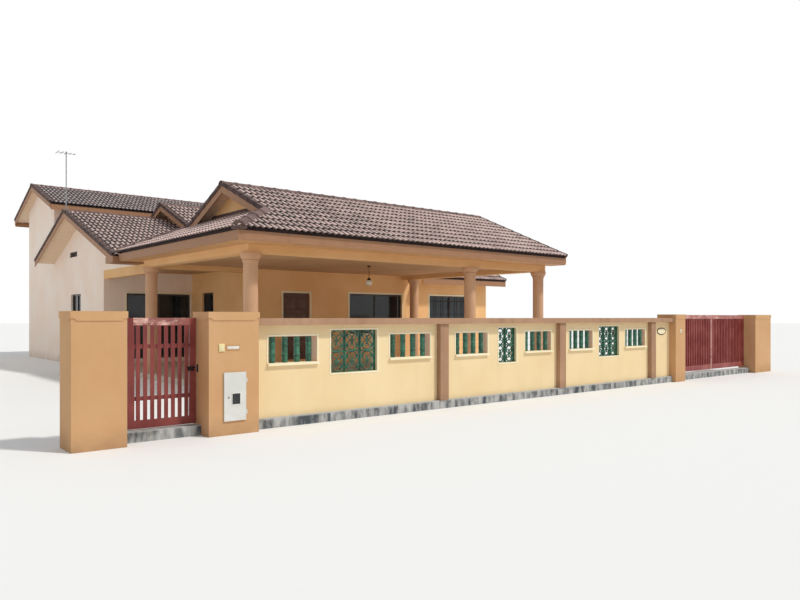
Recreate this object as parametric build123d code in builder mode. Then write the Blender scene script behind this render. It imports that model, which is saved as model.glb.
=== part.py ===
# Single-storey tiled bungalow with a columned car porch, a two-storey block behind it,
# and its street wall with piers, openwork blocks and gates. Millimetres, +Z up.
# +X runs along the street to the right, +Y runs from the street into the plot.
# The origin is on the ground, under the middle of the whole plan.
import os
from dataclasses import dataclass
from math import atan2, cos, degrees, hypot, pi, radians, sin, sqrt

from build123d import *

os.makedirs("parts", exist_ok=True)

# Heights above the ground
STEP_H = 150  # kerb under the street wall, and porch floor
FLOOR_H = 300  # floor of the rooms
STOREY_H = 3150  # underside of the upper floor
UPPER_FLOOR_T = 150
WALL_T = 230  # rendered brick wall of the house

# Roofs: the slab is the tiles' bed, with boards at its edges
ROOF_T = 65
BOARD_T = 25  # fascia and barge boards
FASCIA_H = 200
FASCIA_DROP = 60  # the tiles' overhang leaves the slab's edge bare above the board
BARGE_H = 190
MITRE_GAP = 1  # open joint between two boards at a corner
EAVES_Z = 3450  # top of the slab at the porch and hall eaves
RIDGE_R = 120  # half-round ridge tile
RIDGE_SINK = 45  # how far the ridge tile's centre lies under the slab's peak

# Porch
PORCH_X0 = -6040  # left eave
PORCH_X1 = 4500  # right verge
PORCH_HALF = 3500  # eave to ridge, in plan
PORCH_RIDGE_Z = 4950
GABLET_X = 1370  # left eave to the plane of the little gable's boards, in plan
GABLET_SET = 370  # the little gable's wall behind its boards
GABLET_T = 120
COLUMN_R = 155
COLUMN_X = -5400  # left row of columns
COLUMN_MID_X = 1200
COLUMN_RIGHT_X = 4100
COLUMN_SET = 700  # front row of columns behind the eave
COLUMN_BACK = 500  # back columns, before the hall's wall
BACK_BEAM = 100  # middle of the back beam, before the same line
CAPITAL_R = 228
CAPITAL_H = 195
COLUMN_SIDES = 16
BASE_R = 210
BASE_H = 120
BEAM_T = 300
BEAM_Z = 3010  # underside of the porch beams
CEILING_Z = 3150
CEILING_T = 15
SOFFIT_T = 12

LAMP_X = -100
LAMP_Z = 2660  # centre of the globe
LAMP_R = 95
LAMP_CAP_H = 60
LAMP_ROD_R = 8
LAMP_ROSE_H = 35
LAMP_SIDES = 16

# Hall: the long middle range behind the porch
HALL_X0 = -2400
HALL_X1 = 8400
HALL_Y0 = -2050
HALL_Y1 = 7550
HALL_RIDGE_Y = 3350
HALL_RIDGE_Z = 5700
HALL_VERGE_L = 440
HALL_VERGE_R = 600
HALL_BACK_EAVE = 1000
HALL_FRONT_EAVE = 500  # right of the porch
VALLEY_IN = 200  # where the porch and hall slopes meet, past the wall's face
CORNICE_H = 260  # band under the hall's front eave
CORNICE_D = 60

# Left wing
WING_X0 = -5350
WING_Y0 = 1650
WING_RIDGE_Y = 3650
WING_RIDGE_Z = 5190
GUTTER_W = 600  # slot between the porch's back eave and the wing's front eave
WING_EAVE_Z = 3400
WING_VERGE = 650
TERRACE_BEAM_W = 200
TERRACE_BEAM_Z = 2880
GUTTER_X0 = -6200
GUTTER_T = 20
GUTTER_H = 180

# Two-storey block at the back
BLOCK_X1 = 3500
BLOCK_Y1 = 11550
BLOCK_EAVE = 800
BLOCK_BACK_EAVE = 1000
BLOCK_EAVE_Z = 5930
BLOCK_RIDGE_Z = 6940
BLOCK_VERGE = 320

# Windows and doors of the house
HEAD_Z = 2470
SILL_Z = 1100
DOOR_HEAD_Z = 2440
UPPER_SILL_Z = 4200
UPPER_HEAD_Z = 5400
FRAME_W = 60
FRAME_D = 70
FRAME_SET = 60  # frame behind the wall's outer face
GLASS_T = 8
DOOR_T = 45
DOORWAY_W = 900

# Where they sit along their walls: start, end, sill and head of each
FRONT_WINDOWS = ((1600, 3940, SILL_Z, HEAD_Z), (5300, 7500, SILL_Z, HEAD_Z))
ENTRANCE = (-1000, 0, FLOOR_H, DOOR_HEAD_Z)
SIDE_WINDOW = (10, 850, SILL_Z, HEAD_Z)
RIGHT_WINDOWS = ((0, 1500, SILL_Z, HEAD_Z), (4400, 5900, SILL_Z, HEAD_Z))
BACK_WINDOW = (5000, 6800, SILL_Z, HEAD_Z)
TERRACE_DOOR = (-4630, -2470, FLOOR_H, DOOR_HEAD_Z)
WING_WINDOWS = ((4100, 5300, SILL_Z, HEAD_Z), (4550, 5420, 3790, 3970))
BLOCK_WINDOWS = ((-4400, -3000, SILL_Z, HEAD_Z), (-1000, 400, SILL_Z, HEAD_Z))
BACK_DOOR = (1500, 2400, FLOOR_H, DOOR_HEAD_Z)
UPPER_WINDOWS = (
    (-4400, -3000, UPPER_SILL_Z, UPPER_HEAD_Z),
    (1000, 2400, UPPER_SILL_Z, UPPER_HEAD_Z),
)
END_WINDOW = (8900, 10200, UPPER_SILL_Z, UPPER_HEAD_Z)
WING_DOORWAY_Y = 5900
BLOCK_DOORWAY_X = -200

# Street wall
STREET_Y = -12150  # street face of the panels
PANEL_T = 150
PANEL_TOP = 1535
COPING_H = 105
COPING_OUT = 40
PIER_TOP = 1730
PIER_D = 500
PIER_OUT = 250  # left piers stand this far out of the panels
RIGHT_PIER_OUT = 180
PIER_CAP_H = 120
PIER_CAP_OUT = 10
PIER_CUSP = 70
PIER1_X = -10080
PIER1_W = 670
METER_PIER_X = -8305
METER_PIER_W = 769
PIER3_X = 4400
PIER3_W = 480
PIER4_X = 9046
PIER4_W = 1074
KERB_OUT = 80
PILASTER_W = 205
PILASTER_OUT = 100
PILASTER_X = (-3780, -280, 3380)

# Openings of the street wall: left edge and width of each
WINDOW_HOLES = ((-7243, 870), (-4882, 932), (-3300, 865), (-1309, 847), (175, 863), (2361, 881))
WINDOW_SILL = 960
WINDOW_HEAD = 1365
SCREEN_HOLES = ((-6106, 940), (-2115, 528), (1290, 815))
BLOCK_W = 290  # nominal width of one openwork block
SCREEN_SILL = 757
SCREEN_HEAD = 1447
SCREEN_ROWS = 2
SCREEN_T = 70
BALUSTER_R = 50
BALUSTER_PITCH = 215
BALUSTER_SIDES = 10
SILL_OUT = 45
SILL_H = 38

# Gates
GATE_TOP = 1645
GATE_GAP = 17  # under the pedestrian gate
GATE_Y = -11995  # middle of the leaves' thickness
LEAF_T = 40
JAMB_W = 96
JAMB_D = 60
PIN_R = 8
PIN_PLAY = 0.3
EYE_R = 14
SHOULDER_R = 10
EYE_H = 40
HINGE_GAP = 20  # pin to the pedestrian leaf
LATCH_GAP = 18
STILE_W = 90
TOP_RAIL_H = 107
BOTTOM_RAIL_H = 109
MID_RAIL_H = 55
MID_RAIL_Z = (532, 1232)
SLAT_COUNT = 8
SLAT_W = 54
SLAT_T = 12
MAIN_TOP = 1720
MAIN_GAP = 50
MAIN_PIN_OUT = 36  # pin to the pier's side
MAIN_EDGE = 15  # pin to the main leaf's edge
MAIN_MEET = 10
MAIN_STILE_W = 50
MAIN_TOP_RAIL_H = 110
MAIN_BOTTOM_RAIL_H = 138
MAIN_SHEET_T = 4
MAIN_BAR = 25
MAIN_BAR_PITCH = 98

# Meter cabinet in the second pier
CABINET_X = -8087
CABINET_W = 342
CABINET_Z = 199
CABINET_H = 681
CABINET_D = 200
CABINET_T = 6
METER_DOOR_T = 18
METER_DOOR_GAP = 5
METER_PIN_R = 4
METER_EYE_R = 8
METER_EYE_H = 50

# Small things on the piers and the last panel
BELL_IN = 143  # bell push, from the pier's left edge
BELL_W = 86
BELL_H = 110
BELL_T = 18
BELL_Z = 1175
SLOT_IN = 255  # letter slot, from the same edge
SLOT_W = 214
SLOT_H = 73
SLOT_Z = 1193
SWITCH_IN = 210
SWITCH_W = 70
SWITCH_H = 90
SWITCH_Z = 1258
PLATE_IN = 186  # oval plate, from the third pier
PLATE_W = 412
PLATE_H = 179
PLATE_Z = 1211
PLATE_T = 10

# Aerial
MAST_R = 17
MAST_TOP = 7200
MAST_X = -5940
ROD_R = 6


@dataclass
class Roof:
    """One gabled roof, by the top of its slab."""

    eave_y: float
    eave_z: float
    ridge_y: float
    ridge_z: float

    @property
    def slope(self):
        return (self.ridge_z - self.eave_z) / (self.ridge_y - self.eave_y)

    @property
    def drop(self):
        """The slab's thickness measured straight down."""
        return ROOF_T * hypot(1, self.slope)

    def top(self, y):
        return self.ridge_z - abs(y - self.ridge_y) * self.slope

    def under(self, y):
        return self.top(y) - self.drop

    def strip(self, y0, y1):
        """Section of the slab over one side of the ridge, as points (y, z)."""
        return [(y0, self.under(y0)), (y1, self.under(y1)), (y1, self.top(y1)), (y0, self.top(y0))]


VALLEY_Y = HALL_Y0 + VALLEY_IN
WING_EAVE_Y = VALLEY_Y + GUTTER_W
PORCH_Y1 = VALLEY_Y
PORCH_RIDGE_Y = PORCH_Y1 - PORCH_HALF
PORCH_Y0 = PORCH_RIDGE_Y - PORCH_HALF
COLUMN_Y = PORCH_Y0 + COLUMN_SET
COLUMN_BACK_Y = HALL_Y0 - COLUMN_BACK
BACK_BEAM_Y = HALL_Y0 - BACK_BEAM
porch = Roof(PORCH_Y0, EAVES_Z, PORCH_RIDGE_Y, PORCH_RIDGE_Z)
hall = Roof(VALLEY_Y, EAVES_Z, HALL_RIDGE_Y, HALL_RIDGE_Z)
wing = Roof(WING_EAVE_Y, WING_EAVE_Z, WING_RIDGE_Y, WING_RIDGE_Z)
BLOCK_RIDGE_Y = (HALL_Y1 + BLOCK_Y1) / 2
block = Roof(HALL_Y1 - BLOCK_EAVE, BLOCK_EAVE_Z, BLOCK_RIDGE_Y, BLOCK_RIDGE_Z)
VERGE_L = HALL_X0 - HALL_VERGE_L
VERGE_R = HALL_X1 + HALL_VERGE_R
WING_VERGE_X = WING_X0 - WING_VERGE
BLOCK_VERGE_L = WING_X0 - BLOCK_VERGE
BLOCK_VERGE_R = BLOCK_X1 + BLOCK_VERGE
GABLET_BOARD_X = PORCH_X0 + GABLET_X
GABLET_WALL_X = GABLET_BOARD_X + GABLET_SET


def profile_along_x(points, x0, x1, mode=Mode.ADD):
    """Extrude an outline of (y, z) points from x0 to x1 into the open part."""
    with BuildSketch(Plane.YZ.offset(x0)) as outline:
        with BuildLine():
            Polyline(*points, close=True)
        make_face()
    extrude(outline.sketch, amount=x1 - x0, mode=mode)


def profile_along_y(points, y0, y1, mode=Mode.ADD):
    """Extrude an outline of (x, z) points from y0 to y1 into the open part."""
    with BuildSketch(Plane.XZ.offset(-y1)) as outline:
        with BuildLine():
            Polyline(*points, close=True)
        make_face()
    extrude(outline.sketch, amount=y1 - y0, mode=mode)


def profile_up(points, z0, z1, mode=Mode.ADD):
    """Extrude an outline of (x, y) points from z0 up to z1 into the open part."""
    with BuildSketch(Plane.XY.offset(z0)) as outline:
        with BuildLine():
            Polyline(*points, close=True)
        make_face()
    extrude(outline.sketch, amount=z1 - z0, mode=mode)


def bar(x0, x1, y0, y1, z0, z1, mode=Mode.ADD):
    """A squared length between two corners, in the open part."""
    profile_up([(x0, y0), (x1, y0), (x1, y1), (x0, y1)], z0, z1, mode)


def rod(radius, x, y, z0, z1, mode=Mode.ADD):
    """An upright round bar in the open part."""
    with BuildSketch(Plane.XY.offset(z0)) as outline:
        with Locations((x, y)):
            Circle(radius)
    extrude(outline.sketch, amount=z1 - z0, mode=mode)


def turned(x, y, rings, sides):
    """A turned form with flats, through rings of (z, radius) from the foot up, in the open part."""
    for (z0, r0), (z1, r1) in zip(rings, rings[1:]):
        if z0 == z1:
            continue
        with BuildSketch(Plane.XY.offset(z0)) as lower:
            with Locations((x, y)):
                RegularPolygon(r0, sides)
        lean = degrees(atan2((r0 - r1) * cos(pi / sides), z1 - z0))
        extrude(lower.sketch, amount=z1 - z0, taper=lean)


def save(part, name):
    part.label = name
    export_step(part, f"parts/{name}.step")


def gable_points(roof, y0, y1, base):
    """Outline of a gable wall that fills a roof's underside."""
    return [(y0, base), (y1, base), (y1, roof.under(y1)), (roof.ridge_y, roof.under(roof.ridge_y)), (y0, roof.under(y0))]


# Floors: one slab in each room, inside the walls
with BuildPart() as house_floor:
    bar(HALL_X0 + WALL_T, HALL_X1 - WALL_T, HALL_Y0 + WALL_T, HALL_Y1 - WALL_T, 0, FLOOR_H)
    bar(HALL_X0 + WALL_T, BLOCK_X1 - WALL_T, HALL_Y1 - WALL_T, HALL_Y1, 0, FLOOR_H)
    bar(WING_X0 + WALL_T, HALL_X0, WING_Y0 + WALL_T, HALL_Y1, 0, FLOOR_H)
    bar(WING_X0 + WALL_T, BLOCK_X1 - WALL_T, HALL_Y1 + WALL_T, BLOCK_Y1 - WALL_T, 0, FLOOR_H)
save(house_floor.part, "house_floor")

with BuildPart() as upper_floor:
    bar(
        WING_X0 + WALL_T,
        BLOCK_X1 - WALL_T,
        HALL_Y1 + WALL_T,
        BLOCK_Y1 - WALL_T,
        STOREY_H,
        STOREY_H + UPPER_FLOOR_T,
    )
save(upper_floor.part, "upper_floor")

PORCH_FLOOR_X0 = COLUMN_X - BASE_R
PORCH_FLOOR_X1 = COLUMN_RIGHT_X + BASE_R
PORCH_FLOOR_Y0 = COLUMN_Y - BASE_R
with BuildPart() as porch_floor:
    profile_up(
        [
            (PORCH_FLOOR_X0, PORCH_FLOOR_Y0),
            (PORCH_FLOOR_X1, PORCH_FLOOR_Y0),
            (PORCH_FLOOR_X1, HALL_Y0),
            (HALL_X0, HALL_Y0),
            (HALL_X0, WING_Y0),
            (PORCH_FLOOR_X0, WING_Y0),
        ],
        0,
        STEP_H,
    )
save(porch_floor.part, "porch_floor")

# Walls of the hall
with BuildPart() as hall_front_wall:
    y0, y1 = HALL_Y0, HALL_Y0 + WALL_T
    valley_z = min(hall.under(VALLEY_Y), porch.under(VALLEY_Y))
    under_porch = [(y0, 0), (y1, 0), (y1, hall.under(y1)), (VALLEY_Y, valley_z), (y0, porch.under(y0))]
    profile_along_x(under_porch, HALL_X0, PORCH_X1)
    in_sun = [(y0, 0), (y1, 0), (y1, hall.under(y1)), (y0, hall.under(y0))]
    profile_along_x(in_sun, PORCH_X1, HALL_X1)
    cornice_top = hall.under(y0 - CORNICE_D)
    bar(PORCH_X1 + BOARD_T, HALL_X1, y0 - CORNICE_D, y0, cornice_top - CORNICE_H, cornice_top)
    for x0, x1, z0, z1 in [*FRONT_WINDOWS, ENTRANCE]:
        bar(x0, x1, y0 - CORNICE_D, y1, z0, z1, Mode.SUBTRACT)
save(hall_front_wall.part, "hall_front_wall")

with BuildPart() as hall_left_wall:
    profile_along_x(gable_points(hall, HALL_Y0 + WALL_T, HALL_Y1, 0), HALL_X0, HALL_X0 + WALL_T)
    y0, y1, z0, z1 = SIDE_WINDOW
    bar(HALL_X0, HALL_X0 + WALL_T, y0, y1, z0, z1, Mode.SUBTRACT)
    bar(
        HALL_X0,
        HALL_X0 + WALL_T,
        WING_DOORWAY_Y,
        WING_DOORWAY_Y + DOORWAY_W,
        FLOOR_H,
        DOOR_HEAD_Z,
        Mode.SUBTRACT,
    )
save(hall_left_wall.part, "hall_left_wall")

with BuildPart() as hall_right_wall:
    inner = gable_points(hall, HALL_Y0 + WALL_T, HALL_Y1 - WALL_T, 0)
    profile_along_x(inner, HALL_X1 - WALL_T, HALL_X1)
    for y0, y1, z0, z1 in RIGHT_WINDOWS:
        bar(HALL_X1 - WALL_T, HALL_X1, y0, y1, z0, z1, Mode.SUBTRACT)
save(hall_right_wall.part, "hall_right_wall")

with BuildPart() as hall_back_wall:
    y0, y1 = HALL_Y1 - WALL_T, HALL_Y1
    section = [(y0, 0), (y1, 0), (y1, hall.under(y1)), (y0, hall.under(y0))]
    profile_along_x(section, BLOCK_X1 - WALL_T, HALL_X1)
    x0, x1, z0, z1 = BACK_WINDOW
    bar(x0, x1, y0, y1, z0, z1, Mode.SUBTRACT)
save(hall_back_wall.part, "hall_back_wall")

# Walls of the wing: its gable runs on over the terrace beam
with BuildPart() as wing_front_wall:
    y0, y1 = WING_Y0, WING_Y0 + WALL_T
    section = [(y0, 0), (y1, 0), (y1, wing.under(y1)), (y0, wing.under(y0))]
    profile_along_x(section, WING_X0 + WALL_T, HALL_X0)
    x0, x1, z0, z1 = TERRACE_DOOR
    bar(x0, x1, y0, y1, z0, z1, Mode.SUBTRACT)
save(wing_front_wall.part, "wing_front_wall")

with BuildPart() as wing_left_wall:
    outline = [
        (WING_Y0, 0),
        (HALL_Y1, 0),
        (HALL_Y1, wing.under(HALL_Y1)),
        (wing.ridge_y, wing.under(wing.ridge_y)),
        (WING_EAVE_Y, wing.under(WING_EAVE_Y)),
        (WING_EAVE_Y, CEILING_Z),
        (WING_Y0, CEILING_Z),
    ]
    profile_along_x(outline, WING_X0, WING_X0 + WALL_T)
    for y0, y1, z0, z1 in WING_WINDOWS:
        bar(WING_X0, WING_X0 + WALL_T, y0, y1, z0, z1, Mode.SUBTRACT)
save(wing_left_wall.part, "wing_left_wall")

# Walls of the two-storey block
with BuildPart() as block_front_wall:
    y0, y1 = HALL_Y1, HALL_Y1 + WALL_T
    section = [(y0, 0), (y1, 0), (y1, block.under(y1)), (y0, block.under(y0))]
    profile_along_x(section, WING_X0, BLOCK_X1)
    bar(BLOCK_DOORWAY_X, BLOCK_DOORWAY_X + DOORWAY_W, y0, y1, FLOOR_H, DOOR_HEAD_Z, Mode.SUBTRACT)
save(block_front_wall.part, "block_front_wall")

with BuildPart() as block_back_wall:
    y0, y1 = BLOCK_Y1 - WALL_T, BLOCK_Y1
    section = [(y0, 0), (y1, 0), (y1, block.under(y1)), (y0, block.under(y0))]
    profile_along_x(section, WING_X0, BLOCK_X1)
    for x0, x1, z0, z1 in [*BLOCK_WINDOWS, *UPPER_WINDOWS, BACK_DOOR]:
        bar(x0, x1, y0, y1, z0, z1, Mode.SUBTRACT)
save(block_back_wall.part, "block_back_wall")

block_gable = gable_points(block, HALL_Y1 + WALL_T, BLOCK_Y1 - WALL_T, 0)
with BuildPart() as block_left_wall:
    profile_along_x(block_gable, WING_X0, WING_X0 + WALL_T)
save(block_left_wall.part, "block_left_wall")

with BuildPart() as block_right_wall:
    profile_along_x(block_gable, BLOCK_X1 - WALL_T, BLOCK_X1)
    y0, y1, z0, z1 = END_WINDOW
    bar(BLOCK_X1 - WALL_T, BLOCK_X1, y0, y1, z0, z1, Mode.SUBTRACT)
save(block_right_wall.part, "block_right_wall")

# Porch columns: round shaft, stepped capital and a plain base
COLUMNS = [
    (COLUMN_X, COLUMN_Y),
    (COLUMN_MID_X, COLUMN_Y),
    (COLUMN_RIGHT_X, COLUMN_Y),
    (COLUMN_RIGHT_X, COLUMN_BACK_Y),
    (COLUMN_X, COLUMN_BACK_Y),
]
SHAFT_TOP = BEAM_Z - CAPITAL_H
COLUMN_RINGS = [
    (STEP_H, BASE_R),
    (STEP_H + BASE_H * 0.6, BASE_R),
    (STEP_H + BASE_H, COLUMN_R),
    (SHAFT_TOP, COLUMN_R),
    (SHAFT_TOP, CAPITAL_R * 0.76),
    (SHAFT_TOP + CAPITAL_H * 0.2, CAPITAL_R * 0.76),
    (SHAFT_TOP + CAPITAL_H * 0.2, CAPITAL_R * 0.87),
    (SHAFT_TOP + CAPITAL_H * 0.5, CAPITAL_R * 0.87),
    (SHAFT_TOP + CAPITAL_H * 0.5, CAPITAL_R * 0.95),
    (BEAM_Z, CAPITAL_R),
]
with BuildPart() as porch_columns:
    for cx, cy in COLUMNS:
        turned(cx, cy, COLUMN_RINGS, COLUMN_SIDES)
save(porch_columns.part, "porch_columns")

# Porch beams, each shaped on top to the slope it carries
half_beam = BEAM_T / 2
FRONT_BEAM_Y0 = COLUMN_Y - half_beam
FRONT_BEAM_Y1 = COLUMN_Y + half_beam
LEFT_BEAM_X0 = COLUMN_X - half_beam
LEFT_BEAM_X1 = COLUMN_X + half_beam
RIGHT_BEAM_X0 = COLUMN_RIGHT_X - half_beam
RIGHT_BEAM_X1 = COLUMN_RIGHT_X + half_beam
LEFT_BEAM_Y1 = COLUMN_BACK_Y + half_beam
BACK_BEAM_Y0 = BACK_BEAM_Y - half_beam
BACK_BEAM_Y1 = BACK_BEAM_Y + half_beam
TERRACE_X1 = WING_X0 + TERRACE_BEAM_W
FASCIA_TOP = EAVES_Z - FASCIA_DROP
FASCIA_Z = FASCIA_TOP - FASCIA_H


def skirt_top(x):
    """Top of the slab over the left skirt of the porch roof."""
    return EAVES_Z + (x - PORCH_X0) * porch.slope


def skirt_under(x):
    return skirt_top(x) - porch.drop


with BuildPart() as porch_front_beam:
    section = [
        (FRONT_BEAM_Y0, BEAM_Z),
        (FRONT_BEAM_Y1, BEAM_Z),
        (FRONT_BEAM_Y1, porch.under(FRONT_BEAM_Y1)),
        (FRONT_BEAM_Y0, porch.under(FRONT_BEAM_Y0)),
    ]
    profile_along_x(section, LEFT_BEAM_X0, RIGHT_BEAM_X1)
    hip_x = PORCH_X0 + FRONT_BEAM_Y1 - PORCH_Y0
    mitre = [
        (LEFT_BEAM_X0, skirt_under(LEFT_BEAM_X0)),
        (hip_x, skirt_under(hip_x)),
        (hip_x, PORCH_RIDGE_Z),
        (LEFT_BEAM_X0, PORCH_RIDGE_Z),
    ]
    profile_along_y(mitre, FRONT_BEAM_Y0, FRONT_BEAM_Y1, Mode.SUBTRACT)
save(porch_front_beam.part, "porch_front_beam")

with BuildPart() as porch_left_beam:
    section = [
        (LEFT_BEAM_X0, BEAM_Z),
        (LEFT_BEAM_X1, BEAM_Z),
        (LEFT_BEAM_X1, skirt_under(LEFT_BEAM_X1)),
        (LEFT_BEAM_X0, skirt_under(LEFT_BEAM_X0)),
    ]
    profile_along_y(section, FRONT_BEAM_Y1, LEFT_BEAM_Y1)
    hip_y = PORCH_Y1 - (LEFT_BEAM_X1 - PORCH_X0)
    mitre = [
        (hip_y, porch.under(hip_y)),
        (LEFT_BEAM_Y1, porch.under(LEFT_BEAM_Y1)),
        (LEFT_BEAM_Y1, PORCH_RIDGE_Z),
        (hip_y, PORCH_RIDGE_Z),
    ]
    profile_along_x(mitre, LEFT_BEAM_X0, LEFT_BEAM_X1, Mode.SUBTRACT)
save(porch_left_beam.part, "porch_left_beam")

with BuildPart() as porch_right_gable:
    outline = [
        (FRONT_BEAM_Y1, BEAM_Z),
        (HALL_Y0, BEAM_Z),
        (HALL_Y0, porch.under(HALL_Y0)),
        (porch.ridge_y, porch.under(porch.ridge_y)),
        (FRONT_BEAM_Y1, porch.under(FRONT_BEAM_Y1)),
    ]
    profile_along_x(outline, RIGHT_BEAM_X0, RIGHT_BEAM_X1)
save(porch_right_gable.part, "porch_right_gable")

# The back beam and the terrace beam that carries its end are one casting
with BuildPart() as terrace_beams:
    section = [
        (BACK_BEAM_Y0, BEAM_Z),
        (BACK_BEAM_Y1, BEAM_Z),
        (BACK_BEAM_Y1, porch.under(BACK_BEAM_Y1)),
        (BACK_BEAM_Y0, porch.under(BACK_BEAM_Y0)),
    ]
    profile_along_x(section, WING_X0, HALL_X0)
    bar(WING_X0, TERRACE_X1, LEFT_BEAM_Y1, PORCH_Y1, BEAM_Z, FASCIA_Z + SOFFIT_T)
    bar(WING_X0, TERRACE_X1, PORCH_Y1, WING_Y0, BEAM_Z, CEILING_Z)
    bar(WING_X0, TERRACE_X1, COLUMN_BACK_Y + CAPITAL_R, WING_Y0, TERRACE_BEAM_Z, BEAM_Z)
save(terrace_beams.part, "terrace_beams")

# Flat ceilings of the porch and the terrace
with BuildPart() as ceilings:
    profile_up(
        [
            (LEFT_BEAM_X1, FRONT_BEAM_Y1),
            (RIGHT_BEAM_X0, FRONT_BEAM_Y1),
            (RIGHT_BEAM_X0, HALL_Y0),
            (HALL_X0, HALL_Y0),
            (HALL_X0, BACK_BEAM_Y0),
            (TERRACE_X1, BACK_BEAM_Y0),
            (TERRACE_X1, LEFT_BEAM_Y1),
            (LEFT_BEAM_X1, LEFT_BEAM_Y1),
        ],
        CEILING_Z,
        CEILING_Z + CEILING_T,
    )
    bar(TERRACE_X1, HALL_X0, BACK_BEAM_Y1, WING_Y0, CEILING_Z - CEILING_T, CEILING_Z)
save(ceilings.part, "ceilings")

# Boards under the porch eaves, from the beams out to the fascia
EAVE_X = PORCH_X0 + BOARD_T
EAVE_Y = PORCH_Y0 + BOARD_T
EAVE_BACK_Y = PORCH_Y1 - BOARD_T
with BuildPart() as porch_soffit:
    profile_up(
        [
            (EAVE_X, EAVE_Y),
            (PORCH_X1, EAVE_Y),
            (PORCH_X1, FRONT_BEAM_Y0),
            (LEFT_BEAM_X0, FRONT_BEAM_Y0),
            (LEFT_BEAM_X0, LEFT_BEAM_Y1),
            (WING_X0, LEFT_BEAM_Y1),
            (WING_X0, EAVE_BACK_Y),
            (EAVE_X, EAVE_BACK_Y),
        ],
        FASCIA_Z,
        FASCIA_Z + SOFFIT_T,
    )
save(porch_soffit.part, "porch_soffit")

# Porch roof: two slopes, and a hipped skirt below the little gable on the left
HIP_BREAK_Y = PORCH_Y0 + GABLET_X
HIP_BREAK_BACK_Y = PORCH_Y1 - GABLET_X
SKIRT_CLEAR = porch.drop / porch.slope  # the skirt passes under the main slopes


with BuildPart() as porch_roof_front:
    profile_along_x(porch.strip(EAVE_Y, porch.ridge_y), EAVE_X, PORCH_X1)
    front_plan = [
        (EAVE_X, EAVE_Y),
        (GABLET_BOARD_X, HIP_BREAK_Y),
        (GABLET_BOARD_X, porch.ridge_y),
        (PORCH_X1, porch.ridge_y),
        (PORCH_X1, EAVE_Y),
    ]
    profile_up(front_plan, FASCIA_Z, PORCH_RIDGE_Z, Mode.INTERSECT)
save(porch_roof_front.part, "porch_roof_front")

with BuildPart() as porch_roof_back:
    profile_along_x(porch.strip(porch.ridge_y, PORCH_Y1), EAVE_X, PORCH_X1)
    back_plan = [
        (EAVE_X, PORCH_Y1),
        (EAVE_X, EAVE_BACK_Y),
        (GABLET_BOARD_X, HIP_BREAK_BACK_Y),
        (GABLET_BOARD_X, porch.ridge_y),
        (PORCH_X1, porch.ridge_y),
        (PORCH_X1, PORCH_Y1),
    ]
    profile_up(back_plan, FASCIA_Z, PORCH_RIDGE_Z, Mode.INTERSECT)
save(porch_roof_back.part, "porch_roof_back")

skirt_run = GABLET_WALL_X - PORCH_X0
with BuildPart() as porch_roof_skirt:
    section = [
        (EAVE_X, skirt_under(EAVE_X)),
        (GABLET_WALL_X, skirt_under(GABLET_WALL_X)),
        (GABLET_WALL_X, skirt_top(GABLET_WALL_X)),
        (EAVE_X, skirt_top(EAVE_X)),
    ]
    profile_along_y(section, EAVE_Y, EAVE_BACK_Y)
    skirt_plan = [
        (EAVE_X, EAVE_Y),
        (GABLET_BOARD_X, HIP_BREAK_Y),
        (GABLET_BOARD_X, HIP_BREAK_Y + SKIRT_CLEAR),
        (GABLET_WALL_X, PORCH_Y0 + skirt_run + SKIRT_CLEAR),
        (GABLET_WALL_X, PORCH_Y1 - skirt_run - SKIRT_CLEAR),
        (GABLET_BOARD_X, HIP_BREAK_BACK_Y - SKIRT_CLEAR),
        (GABLET_BOARD_X, HIP_BREAK_BACK_Y),
        (EAVE_X, EAVE_BACK_Y),
    ]
    profile_up(skirt_plan, FASCIA_Z, PORCH_RIDGE_Z, Mode.INTERSECT)
save(porch_roof_skirt.part, "porch_roof_skirt")

with BuildPart() as porch_gablet_wall:
    foot_z = skirt_under(GABLET_WALL_X)
    half_width = (porch.under(porch.ridge_y) - foot_z) / porch.slope
    outline = [
        (porch.ridge_y - half_width, foot_z),
        (porch.ridge_y + half_width, foot_z),
        (porch.ridge_y, porch.under(porch.ridge_y)),
    ]
    profile_along_x(outline, GABLET_WALL_X, GABLET_WALL_X + GABLET_T)
save(porch_gablet_wall.part, "porch_gablet_wall")

# Hall roof: its front eave comes lower past the porch, its back slope stops at the block
HALL_LOW_EAVE_Y = HALL_Y0 - HALL_FRONT_EAVE
HALL_BACK_EAVE_Y = HALL_Y1 + HALL_BACK_EAVE
with BuildPart() as hall_roof_front:
    profile_along_x(hall.strip(HALL_LOW_EAVE_Y, hall.ridge_y), VERGE_L, VERGE_R)
    hall_front_plan = [
        (VERGE_L, VALLEY_Y),
        (PORCH_X1 + BOARD_T, VALLEY_Y),
        (PORCH_X1 + BOARD_T, HALL_LOW_EAVE_Y),
        (VERGE_R, HALL_LOW_EAVE_Y),
        (VERGE_R, hall.ridge_y),
        (VERGE_L, hall.ridge_y),
    ]
    profile_up(hall_front_plan, 0, HALL_RIDGE_Z, Mode.INTERSECT)
save(hall_roof_front.part, "hall_roof_front")

with BuildPart() as hall_roof_back:
    profile_along_x(hall.strip(hall.ridge_y, HALL_BACK_EAVE_Y), VERGE_L, VERGE_R)
    hall_back_plan = [
        (VERGE_L, hall.ridge_y),
        (VERGE_R, hall.ridge_y),
        (VERGE_R, HALL_BACK_EAVE_Y),
        (BLOCK_X1, HALL_BACK_EAVE_Y),
        (BLOCK_X1, HALL_Y1),
        (VERGE_L, HALL_Y1),
    ]
    profile_up(hall_back_plan, 0, HALL_RIDGE_Z, Mode.INTERSECT)
save(hall_roof_back.part, "hall_roof_back")

# Wing roof, between its verge and the hall's wall
with BuildPart() as wing_roof_front:
    profile_along_x(wing.strip(WING_EAVE_Y, wing.ridge_y), WING_VERGE_X, HALL_X0)
save(wing_roof_front.part, "wing_roof_front")

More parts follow.
